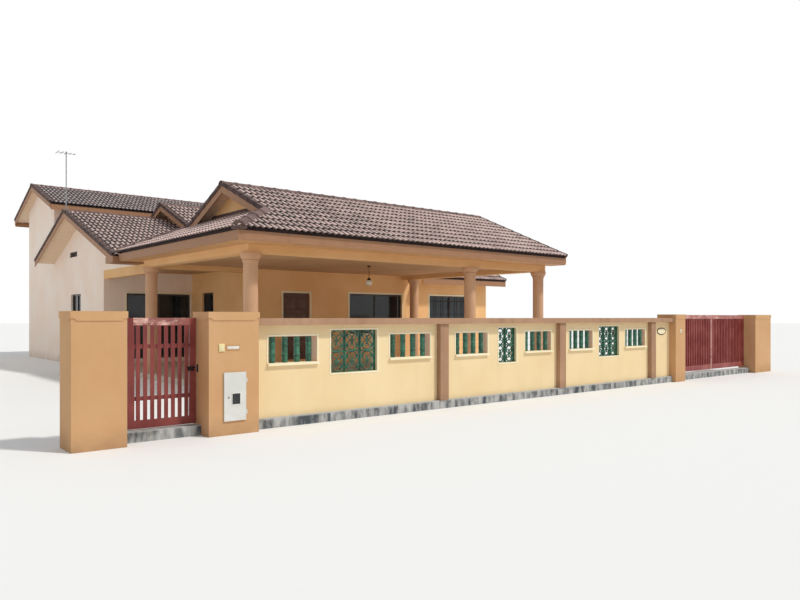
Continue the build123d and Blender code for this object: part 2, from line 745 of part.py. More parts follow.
with BuildPart() as wing_roof_back:
    profile_along_x(wing.strip(wing.ridge_y, HALL_Y1), WING_VERGE_X, HALL_X0)
save(wing_roof_back.part, "wing_roof_back")

# Roof of the two-storey block
BLOCK_EAVE_Y0 = block.eave_y
BLOCK_EAVE_Y1 = BLOCK_Y1 + BLOCK_BACK_EAVE
with BuildPart() as block_roof_front:
    profile_along_x(block.strip(BLOCK_EAVE_Y0, block.ridge_y), BLOCK_VERGE_L, BLOCK_VERGE_R)
save(block_roof_front.part, "block_roof_front")

with BuildPart() as block_roof_back:
    profile_along_x(block.strip(block.ridge_y, BLOCK_EAVE_Y1), BLOCK_VERGE_L, BLOCK_VERGE_R)
save(block_roof_back.part, "block_roof_back")


def ridge_cap(roof, x0, x1):
    """Half-round tiles along a ridge, cut to sit on both slopes."""
    with BuildSketch(Plane.YZ.offset(x0)) as outline:
        with Locations((roof.ridge_y, roof.ridge_z - RIDGE_SINK)):
            Circle(RIDGE_R)
        reach = 2 * RIDGE_R
        with BuildLine():
            Polyline(
                (roof.ridge_y, roof.ridge_z),
                (roof.ridge_y + reach, roof.top(roof.ridge_y + reach)),
                (roof.ridge_y + reach, roof.ridge_z - 2 * reach),
                (roof.ridge_y - reach, roof.ridge_z - 2 * reach),
                (roof.ridge_y - reach, roof.top(roof.ridge_y - reach)),
                close=True,
            )
        make_face(mode=Mode.SUBTRACT)
    extrude(outline.sketch, amount=x1 - x0)


def hip_cap(x, y, turn, length):
    """Half-round tiles up a hip, from an eaves corner, turned to its plan direction."""
    rise = porch.slope / sqrt(2)
    run = Vector(cos(radians(turn)), sin(radians(turn)), rise).normalized()
    across = Vector(-sin(radians(turn)), cos(radians(turn)), 0)
    plane = Plane(origin=(x, y, EAVES_Z), x_dir=across, z_dir=run)
    fall = porch.slope / hypot(porch.slope, sqrt(2))
    reach = 2 * RIDGE_R
    with BuildSketch(plane) as outline:
        with Locations((0, -RIDGE_SINK)):
            Circle(RIDGE_R)
        with BuildLine():
            Polyline(
                (0, 0),
                (reach, -fall * reach),
                (reach, -2 * reach),
                (-reach, -2 * reach),
                (-reach, -fall * reach),
                close=True,
            )
        make_face(mode=Mode.SUBTRACT)
    extrude(outline.sketch, amount=length)


HIP_LENGTH = (GABLET_X - BOARD_T - RIDGE_R) * hypot(sqrt(2), porch.slope)
with BuildPart() as ridge_tiles:
    ridge_cap(porch, GABLET_BOARD_X - BOARD_T, PORCH_X1 + BOARD_T)
    ridge_cap(hall, VERGE_L - BOARD_T, VERGE_R + BOARD_T)
    ridge_cap(wing, WING_VERGE_X - BOARD_T, HALL_X0)
    ridge_cap(block, BLOCK_VERGE_L - BOARD_T, BLOCK_VERGE_R + BOARD_T)
    hip_cap(PORCH_X0, PORCH_Y0, 45, HIP_LENGTH)
    hip_cap(PORCH_X0, PORCH_Y1, -45, HIP_LENGTH)
save(ridge_tiles.part, "ridge_tiles")

# Fascia boards along the eaves
with BuildPart() as fascia_boards:
    front_board = [(PORCH_X0, PORCH_Y0), (PORCH_X1, PORCH_Y0), (PORCH_X1, EAVE_Y), (EAVE_X, EAVE_Y)]
    profile_up(front_board, FASCIA_Z, FASCIA_TOP)
    side_board = [
        (PORCH_X0, PORCH_Y0 + MITRE_GAP),
        (EAVE_X, EAVE_Y + MITRE_GAP),
        (EAVE_X, EAVE_BACK_Y),
        (PORCH_X0, EAVE_BACK_Y),
    ]
    profile_up(side_board, FASCIA_Z, FASCIA_TOP)
    low_z = hall.top(HALL_LOW_EAVE_Y) - FASCIA_DROP
    bar(PORCH_X1 + BOARD_T, VERGE_R, HALL_LOW_EAVE_Y - BOARD_T, HALL_LOW_EAVE_Y, low_z - FASCIA_H, low_z)
    back_z = hall.top(HALL_BACK_EAVE_Y) - FASCIA_DROP
    bar(BLOCK_X1, VERGE_R, HALL_BACK_EAVE_Y, HALL_BACK_EAVE_Y + BOARD_T, back_z - FASCIA_H, back_z)
    for y0, eave_y in ((BLOCK_EAVE_Y0 - BOARD_T, BLOCK_EAVE_Y0), (BLOCK_EAVE_Y1, BLOCK_EAVE_Y1)):
        top_z = block.top(eave_y) - FASCIA_DROP
        bar(BLOCK_VERGE_L, BLOCK_VERGE_R, y0, y0 + BOARD_T, top_z - FASCIA_H, top_z)
save(fascia_boards.part, "fascia_boards")


def barge(roof, x, y0, y1):
    """A pair of boards up the slopes of a gable, from y0 to y1."""
    depth = BARGE_H * hypot(1, roof.slope)
    peak = roof.ridge_z
    points = [
        (y0, roof.top(y0)),
        (roof.ridge_y, peak),
        (y1, roof.top(y1)),
        (y1, roof.top(y1) - depth),
        (roof.ridge_y, peak - depth),
        (y0, roof.top(y0) - depth),
    ]
    profile_along_x(points, x, x + BOARD_T)


# The gable boards die out against the roof below them
with BuildPart() as barge_boards:
    skirt_z = skirt_top(GABLET_BOARD_X)
    gablet_drop = BARGE_H * hypot(1, porch.slope)
    gablet_foot = gablet_drop / porch.slope
    gablet_boards = [
        (HIP_BREAK_Y, skirt_z),
        (porch.ridge_y, PORCH_RIDGE_Z),
        (HIP_BREAK_BACK_Y, skirt_z),
        (HIP_BREAK_BACK_Y - gablet_foot, skirt_z),
        (porch.ridge_y, PORCH_RIDGE_Z - gablet_drop),
        (HIP_BREAK_Y + gablet_foot, skirt_z),
    ]
    profile_along_x(gablet_boards, GABLET_BOARD_X - BOARD_T, GABLET_BOARD_X)
    barge(porch, PORCH_X1, PORCH_Y0, HALL_Y0)

    hall_drop = BARGE_H * hypot(1, hall.slope)
    start_y = VALLEY_Y + (CEILING_Z + GUTTER_H - EAVES_Z + hall_drop) / hall.slope
    level = HALL_RIDGE_Z - hall_drop - WING_RIDGE_Z
    meet_y = (level + hall.ridge_y * hall.slope - wing.ridge_y * wing.slope) / (hall.slope - wing.slope)
    hall_boards = [
        (start_y, hall.top(start_y)),
        (hall.ridge_y, HALL_RIDGE_Z),
        (HALL_Y1, hall.top(HALL_Y1)),
        (HALL_Y1, wing.top(HALL_Y1)),
        (meet_y, wing.top(meet_y)),
        (hall.ridge_y, HALL_RIDGE_Z - hall_drop),
        (start_y, hall.top(start_y) - hall_drop),
    ]
    profile_along_x(hall_boards, VERGE_L - BOARD_T, VERGE_L)
    barge(hall, VERGE_R, HALL_LOW_EAVE_Y, HALL_BACK_EAVE_Y)
    barge(wing, WING_VERGE_X - BOARD_T, WING_EAVE_Y, HALL_Y1)
    barge(block, BLOCK_VERGE_L - BOARD_T, BLOCK_EAVE_Y0, BLOCK_EAVE_Y1)
    barge(block, BLOCK_VERGE_R, BLOCK_EAVE_Y0, BLOCK_EAVE_Y1)
save(barge_boards.part, "barge_boards")

# Box gutter in the slot between the porch's back eave and the wing's front eave
GUTTER_Y0 = PORCH_Y1
GUTTER_Y1 = WING_EAVE_Y
with BuildPart() as valley_gutter:
    bar(GUTTER_X0, HALL_X0, GUTTER_Y0, GUTTER_Y1, CEILING_Z, CEILING_Z + GUTTER_H)
    bar(
        GUTTER_X0 + GUTTER_T,
        HALL_X0 - GUTTER_T,
        GUTTER_Y0 + GUTTER_T,
        GUTTER_Y1 - GUTTER_T,
        CEILING_Z + GUTTER_T,
        CEILING_Z + GUTTER_H,
        Mode.SUBTRACT,
    )
save(valley_gutter.part, "valley_gutter")


def frame_in_y(x0, x1, z0, z1, y):
    """A window frame with one mullion, standing across Y from y to y + FRAME_D."""
    bar(x0, x1, y, y + FRAME_D, z0, z1)
    middle = (x0 + x1) / 2
    for a, b in ((x0 + FRAME_W, middle - FRAME_W / 2), (middle + FRAME_W / 2, x1 - FRAME_W)):
        bar(a, b, y, y + FRAME_D, z0 + FRAME_W, z1 - FRAME_W, Mode.SUBTRACT)


def frame_in_x(y0, y1, z0, z1, x):
    """The same frame, standing across X from x to x + FRAME_D."""
    bar(x, x + FRAME_D, y0, y1, z0, z1)
    middle = (y0 + y1) / 2
    for a, b in ((y0 + FRAME_W, middle - FRAME_W / 2), (middle + FRAME_W / 2, y1 - FRAME_W)):
        bar(x, x + FRAME_D, a, b, z0 + FRAME_W, z1 - FRAME_W, Mode.SUBTRACT)


def panes_in_y(x0, x1, z0, z1, y):
    """The two sheets of glass of such a frame."""
    middle = (x0 + x1) / 2
    mid = y + FRAME_D / 2
    for a, b in ((x0 + FRAME_W, middle - FRAME_W / 2), (middle + FRAME_W / 2, x1 - FRAME_W)):
        bar(a, b, mid - GLASS_T / 2, mid + GLASS_T / 2, z0 + FRAME_W, z1 - FRAME_W)


def panes_in_x(y0, y1, z0, z1, x):
    middle = (y0 + y1) / 2
    mid = x + FRAME_D / 2
    for a, b in ((y0 + FRAME_W, middle - FRAME_W / 2), (middle + FRAME_W / 2, y1 - FRAME_W)):
        bar(mid - GLASS_T / 2, mid + GLASS_T / 2, a, b, z0 + FRAME_W, z1 - FRAME_W)


FRONT_FRAME_Y = HALL_Y0 + FRAME_SET
BACK_FRAME_Y = HALL_Y1 - FRAME_SET - FRAME_D
BLOCK_FRAME_Y = BLOCK_Y1 - FRAME_SET - FRAME_D
RIGHT_FRAME_X = HALL_X1 - FRAME_SET - FRAME_D
BLOCK_RIGHT_FRAME_X = BLOCK_X1 - FRAME_SET - FRAME_D
windows_in_y = [(*w, FRONT_FRAME_Y) for w in FRONT_WINDOWS]
windows_in_y += [(*BACK_WINDOW, BACK_FRAME_Y)]
windows_in_y += [(*w, BLOCK_FRAME_Y) for w in BLOCK_WINDOWS + UPPER_WINDOWS]
windows_in_x = [(*SIDE_WINDOW, HALL_X0 + FRAME_SET)]
windows_in_x += [(*w, RIGHT_FRAME_X) for w in RIGHT_WINDOWS]
windows_in_x += [(*END_WINDOW, BLOCK_RIGHT_FRAME_X)]
windows_in_x += [(*WING_WINDOWS[0], WING_X0 + FRAME_SET)]

with BuildPart() as window_frames:
    for window in windows_in_y:
        frame_in_y(*window)
    for window in windows_in_x:
        frame_in_x(*window)
save(window_frames.part, "window_frames")

with BuildPart() as window_glass:
    for window in windows_in_y:
        panes_in_y(*window)
    for window in windows_in_x:
        panes_in_x(*window)
save(window_glass.part, "window_glass")

# Terrace door of two glazed leaves, with its glass
SLIDING_Y = WING_Y0 + FRAME_SET
with BuildPart() as sliding_door:
    frame_in_y(*TERRACE_DOOR, SLIDING_Y)
save(sliding_door.part, "sliding_door")

with BuildPart() as sliding_door_glass:
    panes_in_y(*TERRACE_DOOR, SLIDING_Y)
save(sliding_door_glass.part, "sliding_door_glass")

with BuildPart() as house_doors:
    x0, x1, z0, z1 = ENTRANCE
    bar(x0, x1, HALL_Y0 + FRAME_SET, HALL_Y0 + FRAME_SET + DOOR_T, z0, z1)
    x0, x1, z0, z1 = BACK_DOOR
    bar(x0, x1, BLOCK_Y1 - FRAME_SET - DOOR_T, BLOCK_Y1 - FRAME_SET, z0, z1)
save(house_doors.part, "house_doors")

# Pendant lamp under the porch ceiling
LAMP_Y = PORCH_RIDGE_Y
LAMP_ROSE_Z = CEILING_Z - LAMP_ROSE_H
LAMP_FOOT = LAMP_Z - LAMP_R * 0.95
LAMP_TOP = LAMP_Z + LAMP_R * 0.8
with BuildPart() as porch_lamp:
    turned(LAMP_X, LAMP_Y, [(LAMP_FOOT, LAMP_R), (LAMP_TOP, LAMP_R)], LAMP_SIDES)
    heights = porch_lamp.edges().group_by(Axis.Z)
    chamfer(heights[0] + heights[-1], LAMP_R * 0.45)
    turned(LAMP_X, LAMP_Y, [(LAMP_TOP, LAMP_R * 0.4), (LAMP_TOP + LAMP_CAP_H, LAMP_R * 0.4)], LAMP_SIDES)
    chamfer(porch_lamp.edges().group_by(Axis.Z)[-1], LAMP_R * 0.2)
    turned(LAMP_X, LAMP_Y, [(LAMP_TOP + LAMP_CAP_H, LAMP_ROD_R), (LAMP_ROSE_Z, LAMP_ROD_R)], 8)
    turned(LAMP_X, LAMP_Y, [(LAMP_ROSE_Z, LAMP_R * 0.6), (CEILING_Z, LAMP_R * 0.6)], LAMP_SIDES)
save(porch_lamp.part, "porch_lamp")

# Aerial on the wing's ridge
MAST_FOOT = WING_RIDGE_Z + RIDGE_R - RIDGE_SINK
with BuildPart() as tv_mast:
    rod(MAST_R, MAST_X, wing.ridge_y, MAST_FOOT, MAST_TOP)
    rod(60, MAST_X, wing.ridge_y, MAST_FOOT, MAST_FOOT + 12)
    boom_z = MAST_TOP - 60
    bar(MAST_X - 300, MAST_X + 300, wing.ridge_y - ROD_R, wing.ridge_y + ROD_R, boom_z, boom_z + 2 * ROD_R)
    for step in range(5):
        x = MAST_X - 270 + step * 130
        reach = 260 - 35 * step
        bar(x - ROD_R, x + ROD_R, wing.ridge_y - reach, wing.ridge_y + reach, boom_z, boom_z + 2 * ROD_R)
save(tv_mast.part, "tv_mast")

# Street wall: kerb, panels with their openings, pilasters and coping
PIER1_R = PIER1_X + PIER1_W
METER_PIER_R = METER_PIER_X + METER_PIER_W
PIER3_R = PIER3_X + PIER3_W
PIER4_R = PIER4_X + PIER4_W
PIER_Y = STREET_Y - PIER_OUT
RIGHT_PIER_Y = STREET_Y - RIGHT_PIER_OUT
PANEL_Y1 = STREET_Y + PANEL_T

with BuildPart() as wall_kerb:
    bar(METER_PIER_R, PIER3_X, STREET_Y - KERB_OUT, PANEL_Y1, 0, STEP_H)
    bar(PIER1_R, METER_PIER_X, STREET_Y, GATE_Y + LEAF_T, 0, STEP_H - GATE_GAP / 2)
    bar(PIER3_R, PIER4_X, STREET_Y, GATE_Y + LEAF_T, 0, STEP_H)
save(wall_kerb.part, "wall_kerb")

with BuildPart() as boundary_wall:
    bar(METER_PIER_R, PIER3_X, STREET_Y, PANEL_Y1, STEP_H, PANEL_TOP)
    for x, width in WINDOW_HOLES:
        bar(x, x + width, STREET_Y, PANEL_Y1, WINDOW_SILL, WINDOW_HEAD, Mode.SUBTRACT)
    for x, width in SCREEN_HOLES:
        bar(x, x + width, STREET_Y, PANEL_Y1, SCREEN_SILL, SCREEN_HEAD, Mode.SUBTRACT)
save(boundary_wall.part, "boundary_wall")

with BuildPart() as wall_pilasters:
    for x in PILASTER_X:
        bar(x, x + PILASTER_W, STREET_Y - PILASTER_OUT, STREET_Y, STEP_H, PANEL_TOP)
save(wall_pilasters.part, "wall_pilasters")

with BuildPart() as wall_coping:
    bar(
        METER_PIER_R,
        PIER3_X,
        STREET_Y - PILASTER_OUT - COPING_OUT,
        PANEL_Y1 + COPING_OUT,
        PANEL_TOP,
        PANEL_TOP + COPING_H,
    )
    band_z = PIER_TOP - PIER_CAP_H
    for x in (METER_PIER_R, PIER3_X - PIER_CAP_OUT):
        bar(x, x + PIER_CAP_OUT, PIER_Y, PANEL_Y1 + PIER_D, band_z, PIER_TOP, Mode.SUBTRACT)
save(wall_coping.part, "wall_coping")

with BuildPart() as opening_sills:
    for x, width in WINDOW_HOLES:
        bar(x - 20, x + width + 20, STREET_Y - SILL_OUT, STREET_Y, WINDOW_SILL - SILL_H, WINDOW_SILL)
save(opening_sills.part, "opening_sills")

# Openwork blocks: each has a ring in its square, and four petals in the ring.
# Its holes are outlined in fractions of half a block, in the corner right of and above its middle.
CORNER_HOLE = ((0.92, 0.92), (0.42, 0.92), (0.92, 0.42))
SIDE_HOLE = ((0.28, 0.28), (0.80, 0.30), (0.62, 0.62), (0.30, 0.80))
PETAL_HOLE = ((0.0, 0.18), (0.18, 0.54), (0.0, 0.80), (-0.18, 0.54))


def quarter_turned(points, quarters):
    """Outline points turned about the block's middle by quarters of a turn."""
    for _ in range(quarters):
        points = [(-z, x) for x, z in points]
    return points


with BuildPart() as breeze_screens:
    screen_y = STREET_Y + (PANEL_T - SCREEN_T) / 2
    half_h = (SCREEN_HEAD - SCREEN_SILL) / SCREEN_ROWS / 2
    for x, width in SCREEN_HOLES:
        bar(x, x + width, screen_y, screen_y + SCREEN_T, SCREEN_SILL, SCREEN_HEAD)
        columns = round(width / BLOCK_W)
        half_w = width / columns / 2
        with BuildSketch(Plane.XZ.offset(-screen_y)) as holes:
            for column in range(columns):
                for row in range(SCREEN_ROWS):
                    cx = x + half_w * (2 * column + 1)
                    cz = SCREEN_SILL + half_h * (2 * row + 1)
                    for hole in (CORNER_HOLE, SIDE_HOLE, PETAL_HOLE):
                        for quarters in range(4):
                            turned_hole = quarter_turned(hole, quarters)
                            points = [(cx + u * half_w, cz + v * half_h) for u, v in turned_hole]
                            with BuildLine():
                                Polyline(*points, close=True)
                            make_face()
        extrude(holes.sketch, amount=-SCREEN_T, mode=Mode.SUBTRACT)
save(breeze_screens.part, "breeze_screens")

with BuildPart() as bamboo_balusters:
    for x, width in WINDOW_HOLES:
        count = round(width / BALUSTER_PITCH)
        pitch = width / count
        for i in range(count):
            cx = x + pitch * (i + 0.5)
            foot = (WINDOW_SILL, BALUSTER_R)
            head = (WINDOW_HEAD, BALUSTER_R)
            turned(cx, STREET_Y + PANEL_T / 2, [foot, head], BALUSTER_SIDES)
save(bamboo_balusters.part, "bamboo_balusters")


def pier(x, width, y, depth):
    """A square pier with a proud band round its top, whose lower edge rises in a cusp at each corner."""
    out = PIER_CAP_OUT
    x0, x1, y0, y1 = x - out, x + width + out, y - out, y + depth + out
    band_z = PIER_TOP - PIER_CAP_H
    bar(x0, x1, y0, y1, band_z, PIER_TOP)
    bends = [(PIER_CUSP * sin(radians(t)), PIER_CUSP * cos(radians(t)) * 0.5) for t in (0, 30, 60, 90)]
    for edge, way in ((x0, 1), (x1, -1)):
        points = [(edge + way * u, band_z + v) for u, v in bends] + [(edge, band_z)]
        profile_along_y(points, y0, y0 + out, Mode.SUBTRACT)
        profile_along_y(points, y1 - out, y1, Mode.SUBTRACT)
    for edge, way in ((y0, 1), (y1, -1)):
        points = [(edge + way * u, band_z + v) for u, v in bends] + [(edge, band_z)]
        profile_along_x(points, x0, x0 + out, Mode.SUBTRACT)
        profile_along_x(points, x1 - out, x1, Mode.SUBTRACT)
    bar(x, x + width, y, y + depth, 0, PIER_TOP)


with BuildPart() as gate_piers:
    pier(PIER1_X, PIER1_W, PIER_Y, PIER_D)
    pier(PIER3_X, PIER3_W, RIGHT_PIER_Y, PIER_D)
    pier(PIER4_X, PIER4_W, RIGHT_PIER_Y, PIER_D)
save(gate_piers.part, "gate_piers")

CABINET_R = CABINET_X + CABINET_W
CABINET_TOP = CABINET_Z + CABINET_H
with BuildPart() as meter_pier:
    pier(METER_PIER_X, METER_PIER_W, PIER_Y, PIER_D)
    bar(CABINET_X, CABINET_R, PIER_Y, PIER_Y + CABINET_D, CABINET_Z, CABINET_TOP, Mode.SUBTRACT)
save(meter_pier.part, "meter_pier")

METER_PIN_X = CABINET_R + METER_EYE_R + 2
METER_PIN_Y = PIER_Y - METER_DOOR_GAP - METER_DOOR_T / 2
METER_EYES = (CABINET_Z + 90, CABINET_TOP - 140)
with BuildPart() as meter_cabinet:
    bar(CABINET_X, CABINET_R, PIER_Y, PIER_Y + CABINET_D, CABINET_Z, CABINET_TOP)
    bar(
        CABINET_X + CABINET_T,
        CABINET_R - CABINET_T,
        PIER_Y,
        PIER_Y + CABINET_D - CABINET_T,
        CABINET_Z + CABINET_T,
        CABINET_TOP - CABINET_T,
        Mode.SUBTRACT,
    )
    for z in METER_EYES:
        bar(CABINET_R + 1, METER_PIN_X + METER_PIN_R, METER_PIN_Y, PIER_Y, z - 8, z)
        rod(METER_EYE_R, METER_PIN_X, METER_PIN_Y, z - 8, z)
        rod(METER_PIN_R, METER_PIN_X, METER_PIN_Y, z, z + METER_EYE_H)
save(meter_cabinet.part, "meter_cabinet")

with BuildPart() as meter_door:
    door_y1 = PIER_Y - METER_DOOR_GAP
    door_y0 = door_y1 - METER_DOOR_T
    bar(CABINET_X, CABINET_R - METER_DOOR_GAP, door_y0, door_y1, CABINET_Z, CABINET_TOP)
    for z in METER_EYES:
        foot = z + PIN_PLAY
        rod(METER_EYE_R, METER_PIN_X, METER_PIN_Y, foot, foot + METER_EYE_H)
        bar(
            CABINET_R - METER_DOOR_GAP,
            METER_PIN_X,
            METER_PIN_Y - 4,
            METER_PIN_Y + 4,
            foot,
            foot + METER_EYE_H,
        )
        rod(METER_PIN_R + PIN_PLAY, METER_PIN_X, METER_PIN_Y, foot, foot + METER_EYE_H, Mode.SUBTRACT)
save(meter_door.part, "meter_door")

with BuildPart() as pier_fittings:
    bell_x = METER_PIER_X + BELL_IN
    bar(bell_x, bell_x + BELL_W, PIER_Y - BELL_T, PIER_Y, BELL_Z, BELL_Z + BELL_H)
    slot_x = METER_PIER_X + SLOT_IN
    bar(slot_x, slot_x + SLOT_W, PIER_Y - PLATE_T, PIER_Y, SLOT_Z, SLOT_Z + SLOT_H)
    switch_x = PIER3_X + SWITCH_IN
    bar(switch_x, switch_x + SWITCH_W, RIGHT_PIER_Y - BELL_T, RIGHT_PIER_Y, SWITCH_Z, SWITCH_Z + SWITCH_H)
    with BuildSketch(Plane.XZ.offset(-STREET_Y)) as oval:
        with Locations((PIER3_X - PLATE_IN - PLATE_W / 2, PLATE_Z + PLATE_H / 2)):
            Ellipse(PLATE_W / 2, PLATE_H / 2)
    extrude(oval.sketch, amount=PLATE_T)
save(pier_fittings.part, "pier_fittings")


def eye(x, z, leaf_x):
    """An eye round a hinge pin, with its tongue to the leaf's edge."""
    foot = z + PIN_PLAY
    rod(EYE_R, x, GATE_Y, foot, foot + EYE_H)
    x0, x1 = sorted((x, leaf_x))
    bar(x0, x1, GATE_Y - 8, GATE_Y + 8, foot, foot + EYE_H)
    rod(PIN_R + PIN_PLAY, x, GATE_Y, foot, foot + EYE_H, Mode.SUBTRACT)


def gudgeon(x, z, post_x):
    """The pin that an eye sits on, with its bracket to the post."""
    x0, x1 = sorted((x, post_x))
    bar(x0, x1, GATE_Y - SHOULDER_R, GATE_Y + SHOULDER_R, z - 12, z)
    rod(SHOULDER_R, x, GATE_Y, z - 12, z)
    rod(PIN_R, x, GATE_Y, z, z + EYE_H + PIN_R)


JAMB_R = PIER1_R + JAMB_W
GATE_PIN_X = JAMB_R + HINGE_GAP
GATE_X0 = GATE_PIN_X + HINGE_GAP
GATE_X1 = METER_PIER_X - LATCH_GAP
GATE_HINGES = (380, 1330)
with BuildPart() as gate_jamb_post:
    post_y = GATE_Y - JAMB_D + 10
    bar(PIER1_R, JAMB_R, post_y, post_y + JAMB_D, STEP_H - GATE_GAP / 2, PIER_TOP - PIER_CAP_H)
    for z in GATE_HINGES:
        gudgeon(GATE_PIN_X, z, JAMB_R)
save(gate_jamb_post.part, "gate_jamb_post")

MAIN_PIN_L = PIER3_R + MAIN_PIN_OUT
MAIN_PIN_R = PIER4_X - MAIN_PIN_OUT
MAIN_HINGES = (420, 1400)
with BuildPart() as gate_hinge_pins:
    for z in MAIN_HINGES:
        gudgeon(MAIN_PIN_L, z, PIER3_R)
        gudgeon(MAIN_PIN_R, z, PIER4_X)
save(gate_hinge_pins.part, "gate_hinge_pins")

leaf_y0 = GATE_Y - LEAF_T / 2
leaf_y1 = GATE_Y + LEAF_T / 2
with BuildPart() as pedestrian_gate:
    foot = STEP_H + GATE_GAP / 2
    inner_x0 = GATE_X0 + STILE_W
    inner_x1 = GATE_X1 - STILE_W
    bar(GATE_X0, inner_x0, leaf_y0, leaf_y1, foot, GATE_TOP)
    bar(inner_x1, GATE_X1, leaf_y0, leaf_y1, foot, GATE_TOP)
    bar(inner_x0, inner_x1, leaf_y0, leaf_y1, GATE_TOP - TOP_RAIL_H, GATE_TOP)
    bar(inner_x0, inner_x1, leaf_y0, leaf_y1, foot, foot + BOTTOM_RAIL_H)
    for z in MID_RAIL_Z:
        bar(inner_x0, inner_x1, leaf_y0 + SLAT_T, leaf_y1, z, z + MID_RAIL_H)
    pitch = (inner_x1 - inner_x0) / SLAT_COUNT
    for i in range(SLAT_COUNT):
        x = inner_x0 + pitch * (i + 0.5)
        bar(
            x - SLAT_W / 2,
            x + SLAT_W / 2,
            leaf_y0,
            leaf_y0 + SLAT_T,
            foot + BOTTOM_RAIL_H,
            GATE_TOP - TOP_RAIL_H,
        )
    for z in GATE_HINGES:
        eye(GATE_PIN_X, z, GATE_X0)
save(pedestrian_gate.part, "pedestrian_gate")


def main_leaf(x0, x1, pin_x, edge_x):
    """One leaf of the drive gate: frame, sheet and upright bars."""
    foot = STEP_H + MAIN_GAP
    rail_top = foot + MAIN_BOTTOM_RAIL_H
    rail_foot = MAIN_TOP - MAIN_TOP_RAIL_H
    bar(x0, x0 + MAIN_STILE_W, leaf_y0, leaf_y1, foot, MAIN_TOP)
    bar(x1 - MAIN_STILE_W, x1, leaf_y0, leaf_y1, foot, MAIN_TOP)
    bar(x0 + MAIN_STILE_W, x1 - MAIN_STILE_W, leaf_y0, leaf_y1, rail_foot, MAIN_TOP)
    bar(x0 + MAIN_STILE_W, x1 - MAIN_STILE_W, leaf_y0, leaf_y1, foot, rail_top)
    sheet_y0 = leaf_y0 + MAIN_BAR
    inner_x0 = x0 + MAIN_STILE_W
    inner_x1 = x1 - MAIN_STILE_W
    bar(inner_x0, inner_x1, sheet_y0, sheet_y0 + MAIN_SHEET_T, rail_top, rail_foot)
    count = round((inner_x1 - inner_x0) / MAIN_BAR_PITCH)
    pitch = (inner_x1 - inner_x0) / count
    for i in range(count):
        x = inner_x0 + pitch * (i + 0.5)
        bar(x - MAIN_BAR / 2, x + MAIN_BAR / 2, leaf_y0, sheet_y0, rail_top, rail_foot)
    for z in MAIN_HINGES:
        eye(pin_x, z, edge_x)


MAIN_X0 = MAIN_PIN_L + MAIN_EDGE
MAIN_X1 = MAIN_PIN_R - MAIN_EDGE
MAIN_MID = (MAIN_X0 + MAIN_X1) / 2
with BuildPart() as main_gate_left:
    main_leaf(MAIN_X0, MAIN_MID - MAIN_MEET / 2, MAIN_PIN_L, MAIN_X0)
save(main_gate_left.part, "main_gate_left")

with BuildPart() as main_gate_right:
    main_leaf(MAIN_MID + MAIN_MEET / 2, MAIN_X1, MAIN_PIN_R, MAIN_X1)
save(main_gate_right.part, "main_gate_right")
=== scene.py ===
# The bungalow and its street wall, finished round the frame: roof tiles, ridge and verge tiles,
# columns, openwork blocks, bamboo balusters, window bars, doors, latches, and every surface.
# Metres, +X along the street, +Y from the street into the plot, +Z up.
import math

import bmesh
import bpy
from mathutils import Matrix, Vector

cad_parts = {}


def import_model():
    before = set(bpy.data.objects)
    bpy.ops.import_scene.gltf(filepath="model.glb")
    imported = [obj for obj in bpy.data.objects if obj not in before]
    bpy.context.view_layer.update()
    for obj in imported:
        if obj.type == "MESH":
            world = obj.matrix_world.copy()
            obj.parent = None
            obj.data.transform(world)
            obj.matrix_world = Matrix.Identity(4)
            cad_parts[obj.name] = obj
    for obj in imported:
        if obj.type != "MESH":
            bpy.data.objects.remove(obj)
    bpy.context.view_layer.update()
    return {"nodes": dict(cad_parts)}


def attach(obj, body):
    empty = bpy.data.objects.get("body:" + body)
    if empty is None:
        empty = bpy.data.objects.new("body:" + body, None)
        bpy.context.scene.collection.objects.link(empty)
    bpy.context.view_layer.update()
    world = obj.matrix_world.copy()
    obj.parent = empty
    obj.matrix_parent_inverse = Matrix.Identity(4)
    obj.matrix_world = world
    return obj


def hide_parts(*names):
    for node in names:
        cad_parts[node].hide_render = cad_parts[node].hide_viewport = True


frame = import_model()


# ---- Modelling by hand, in small steps ----


def clear_selection():
    if bpy.context.object and bpy.context.object.mode != "OBJECT":
        bpy.ops.object.mode_set(mode="OBJECT")
    bpy.ops.object.select_all(action="DESELECT")


def take(ob):
    """Select one piece alone."""
    clear_selection()
    ob.select_set(True)
    bpy.context.view_layer.objects.active = ob


def edit(ob, kind="VERT", everything=False):
    """Open one piece in edit mode, with all of it selected or nothing."""
    take(ob)
    bpy.ops.object.mode_set(mode="EDIT")
    bpy.ops.mesh.select_mode(type=kind)
    bpy.ops.mesh.select_all(action="SELECT" if everything else "DESELECT")


def leave_edit():
    bpy.ops.object.mode_set(mode="OBJECT")


def pick(ob, kind, test):
    """Select the vertices, edges or faces whose middle passes a test."""
    bpy.ops.mesh.select_mode(type=kind)
    mesh = bmesh.from_edit_mesh(ob.data)
    for item in {"VERT": mesh.verts, "EDGE": mesh.edges, "FACE": mesh.faces}[kind]:
        corners = [item] if kind == "VERT" else item.verts
        middle = sum((corner.co for corner in corners), Vector()) / len(corners)
        item.select = bool(test(middle))
    mesh.select_flush_mode()
    bmesh.update_edit_mesh(ob.data)


def settle(ob):
    """Put a piece's place, turn and size into its mesh."""
    take(ob)
    bpy.ops.object.transform_apply(location=True, rotation=True, scale=True)
    return ob


def resized(ob, scale):
    ob.scale = scale
    return settle(ob)


def placed(ob, location, rotation=(0, 0, 0)):
    """Turn a piece about the origin, then move it."""
    ob.rotation_euler = rotation
    ob.location = location
    return settle(ob)


def apply_modifier(ob, kind, **settings):
    take(ob)
    bpy.ops.object.modifier_add(type=kind)
    modifier = ob.modifiers[-1]
    for key, value in settings.items():
        setattr(modifier, key, value)
    bpy.ops.object.modifier_apply(modifier=modifier.name)


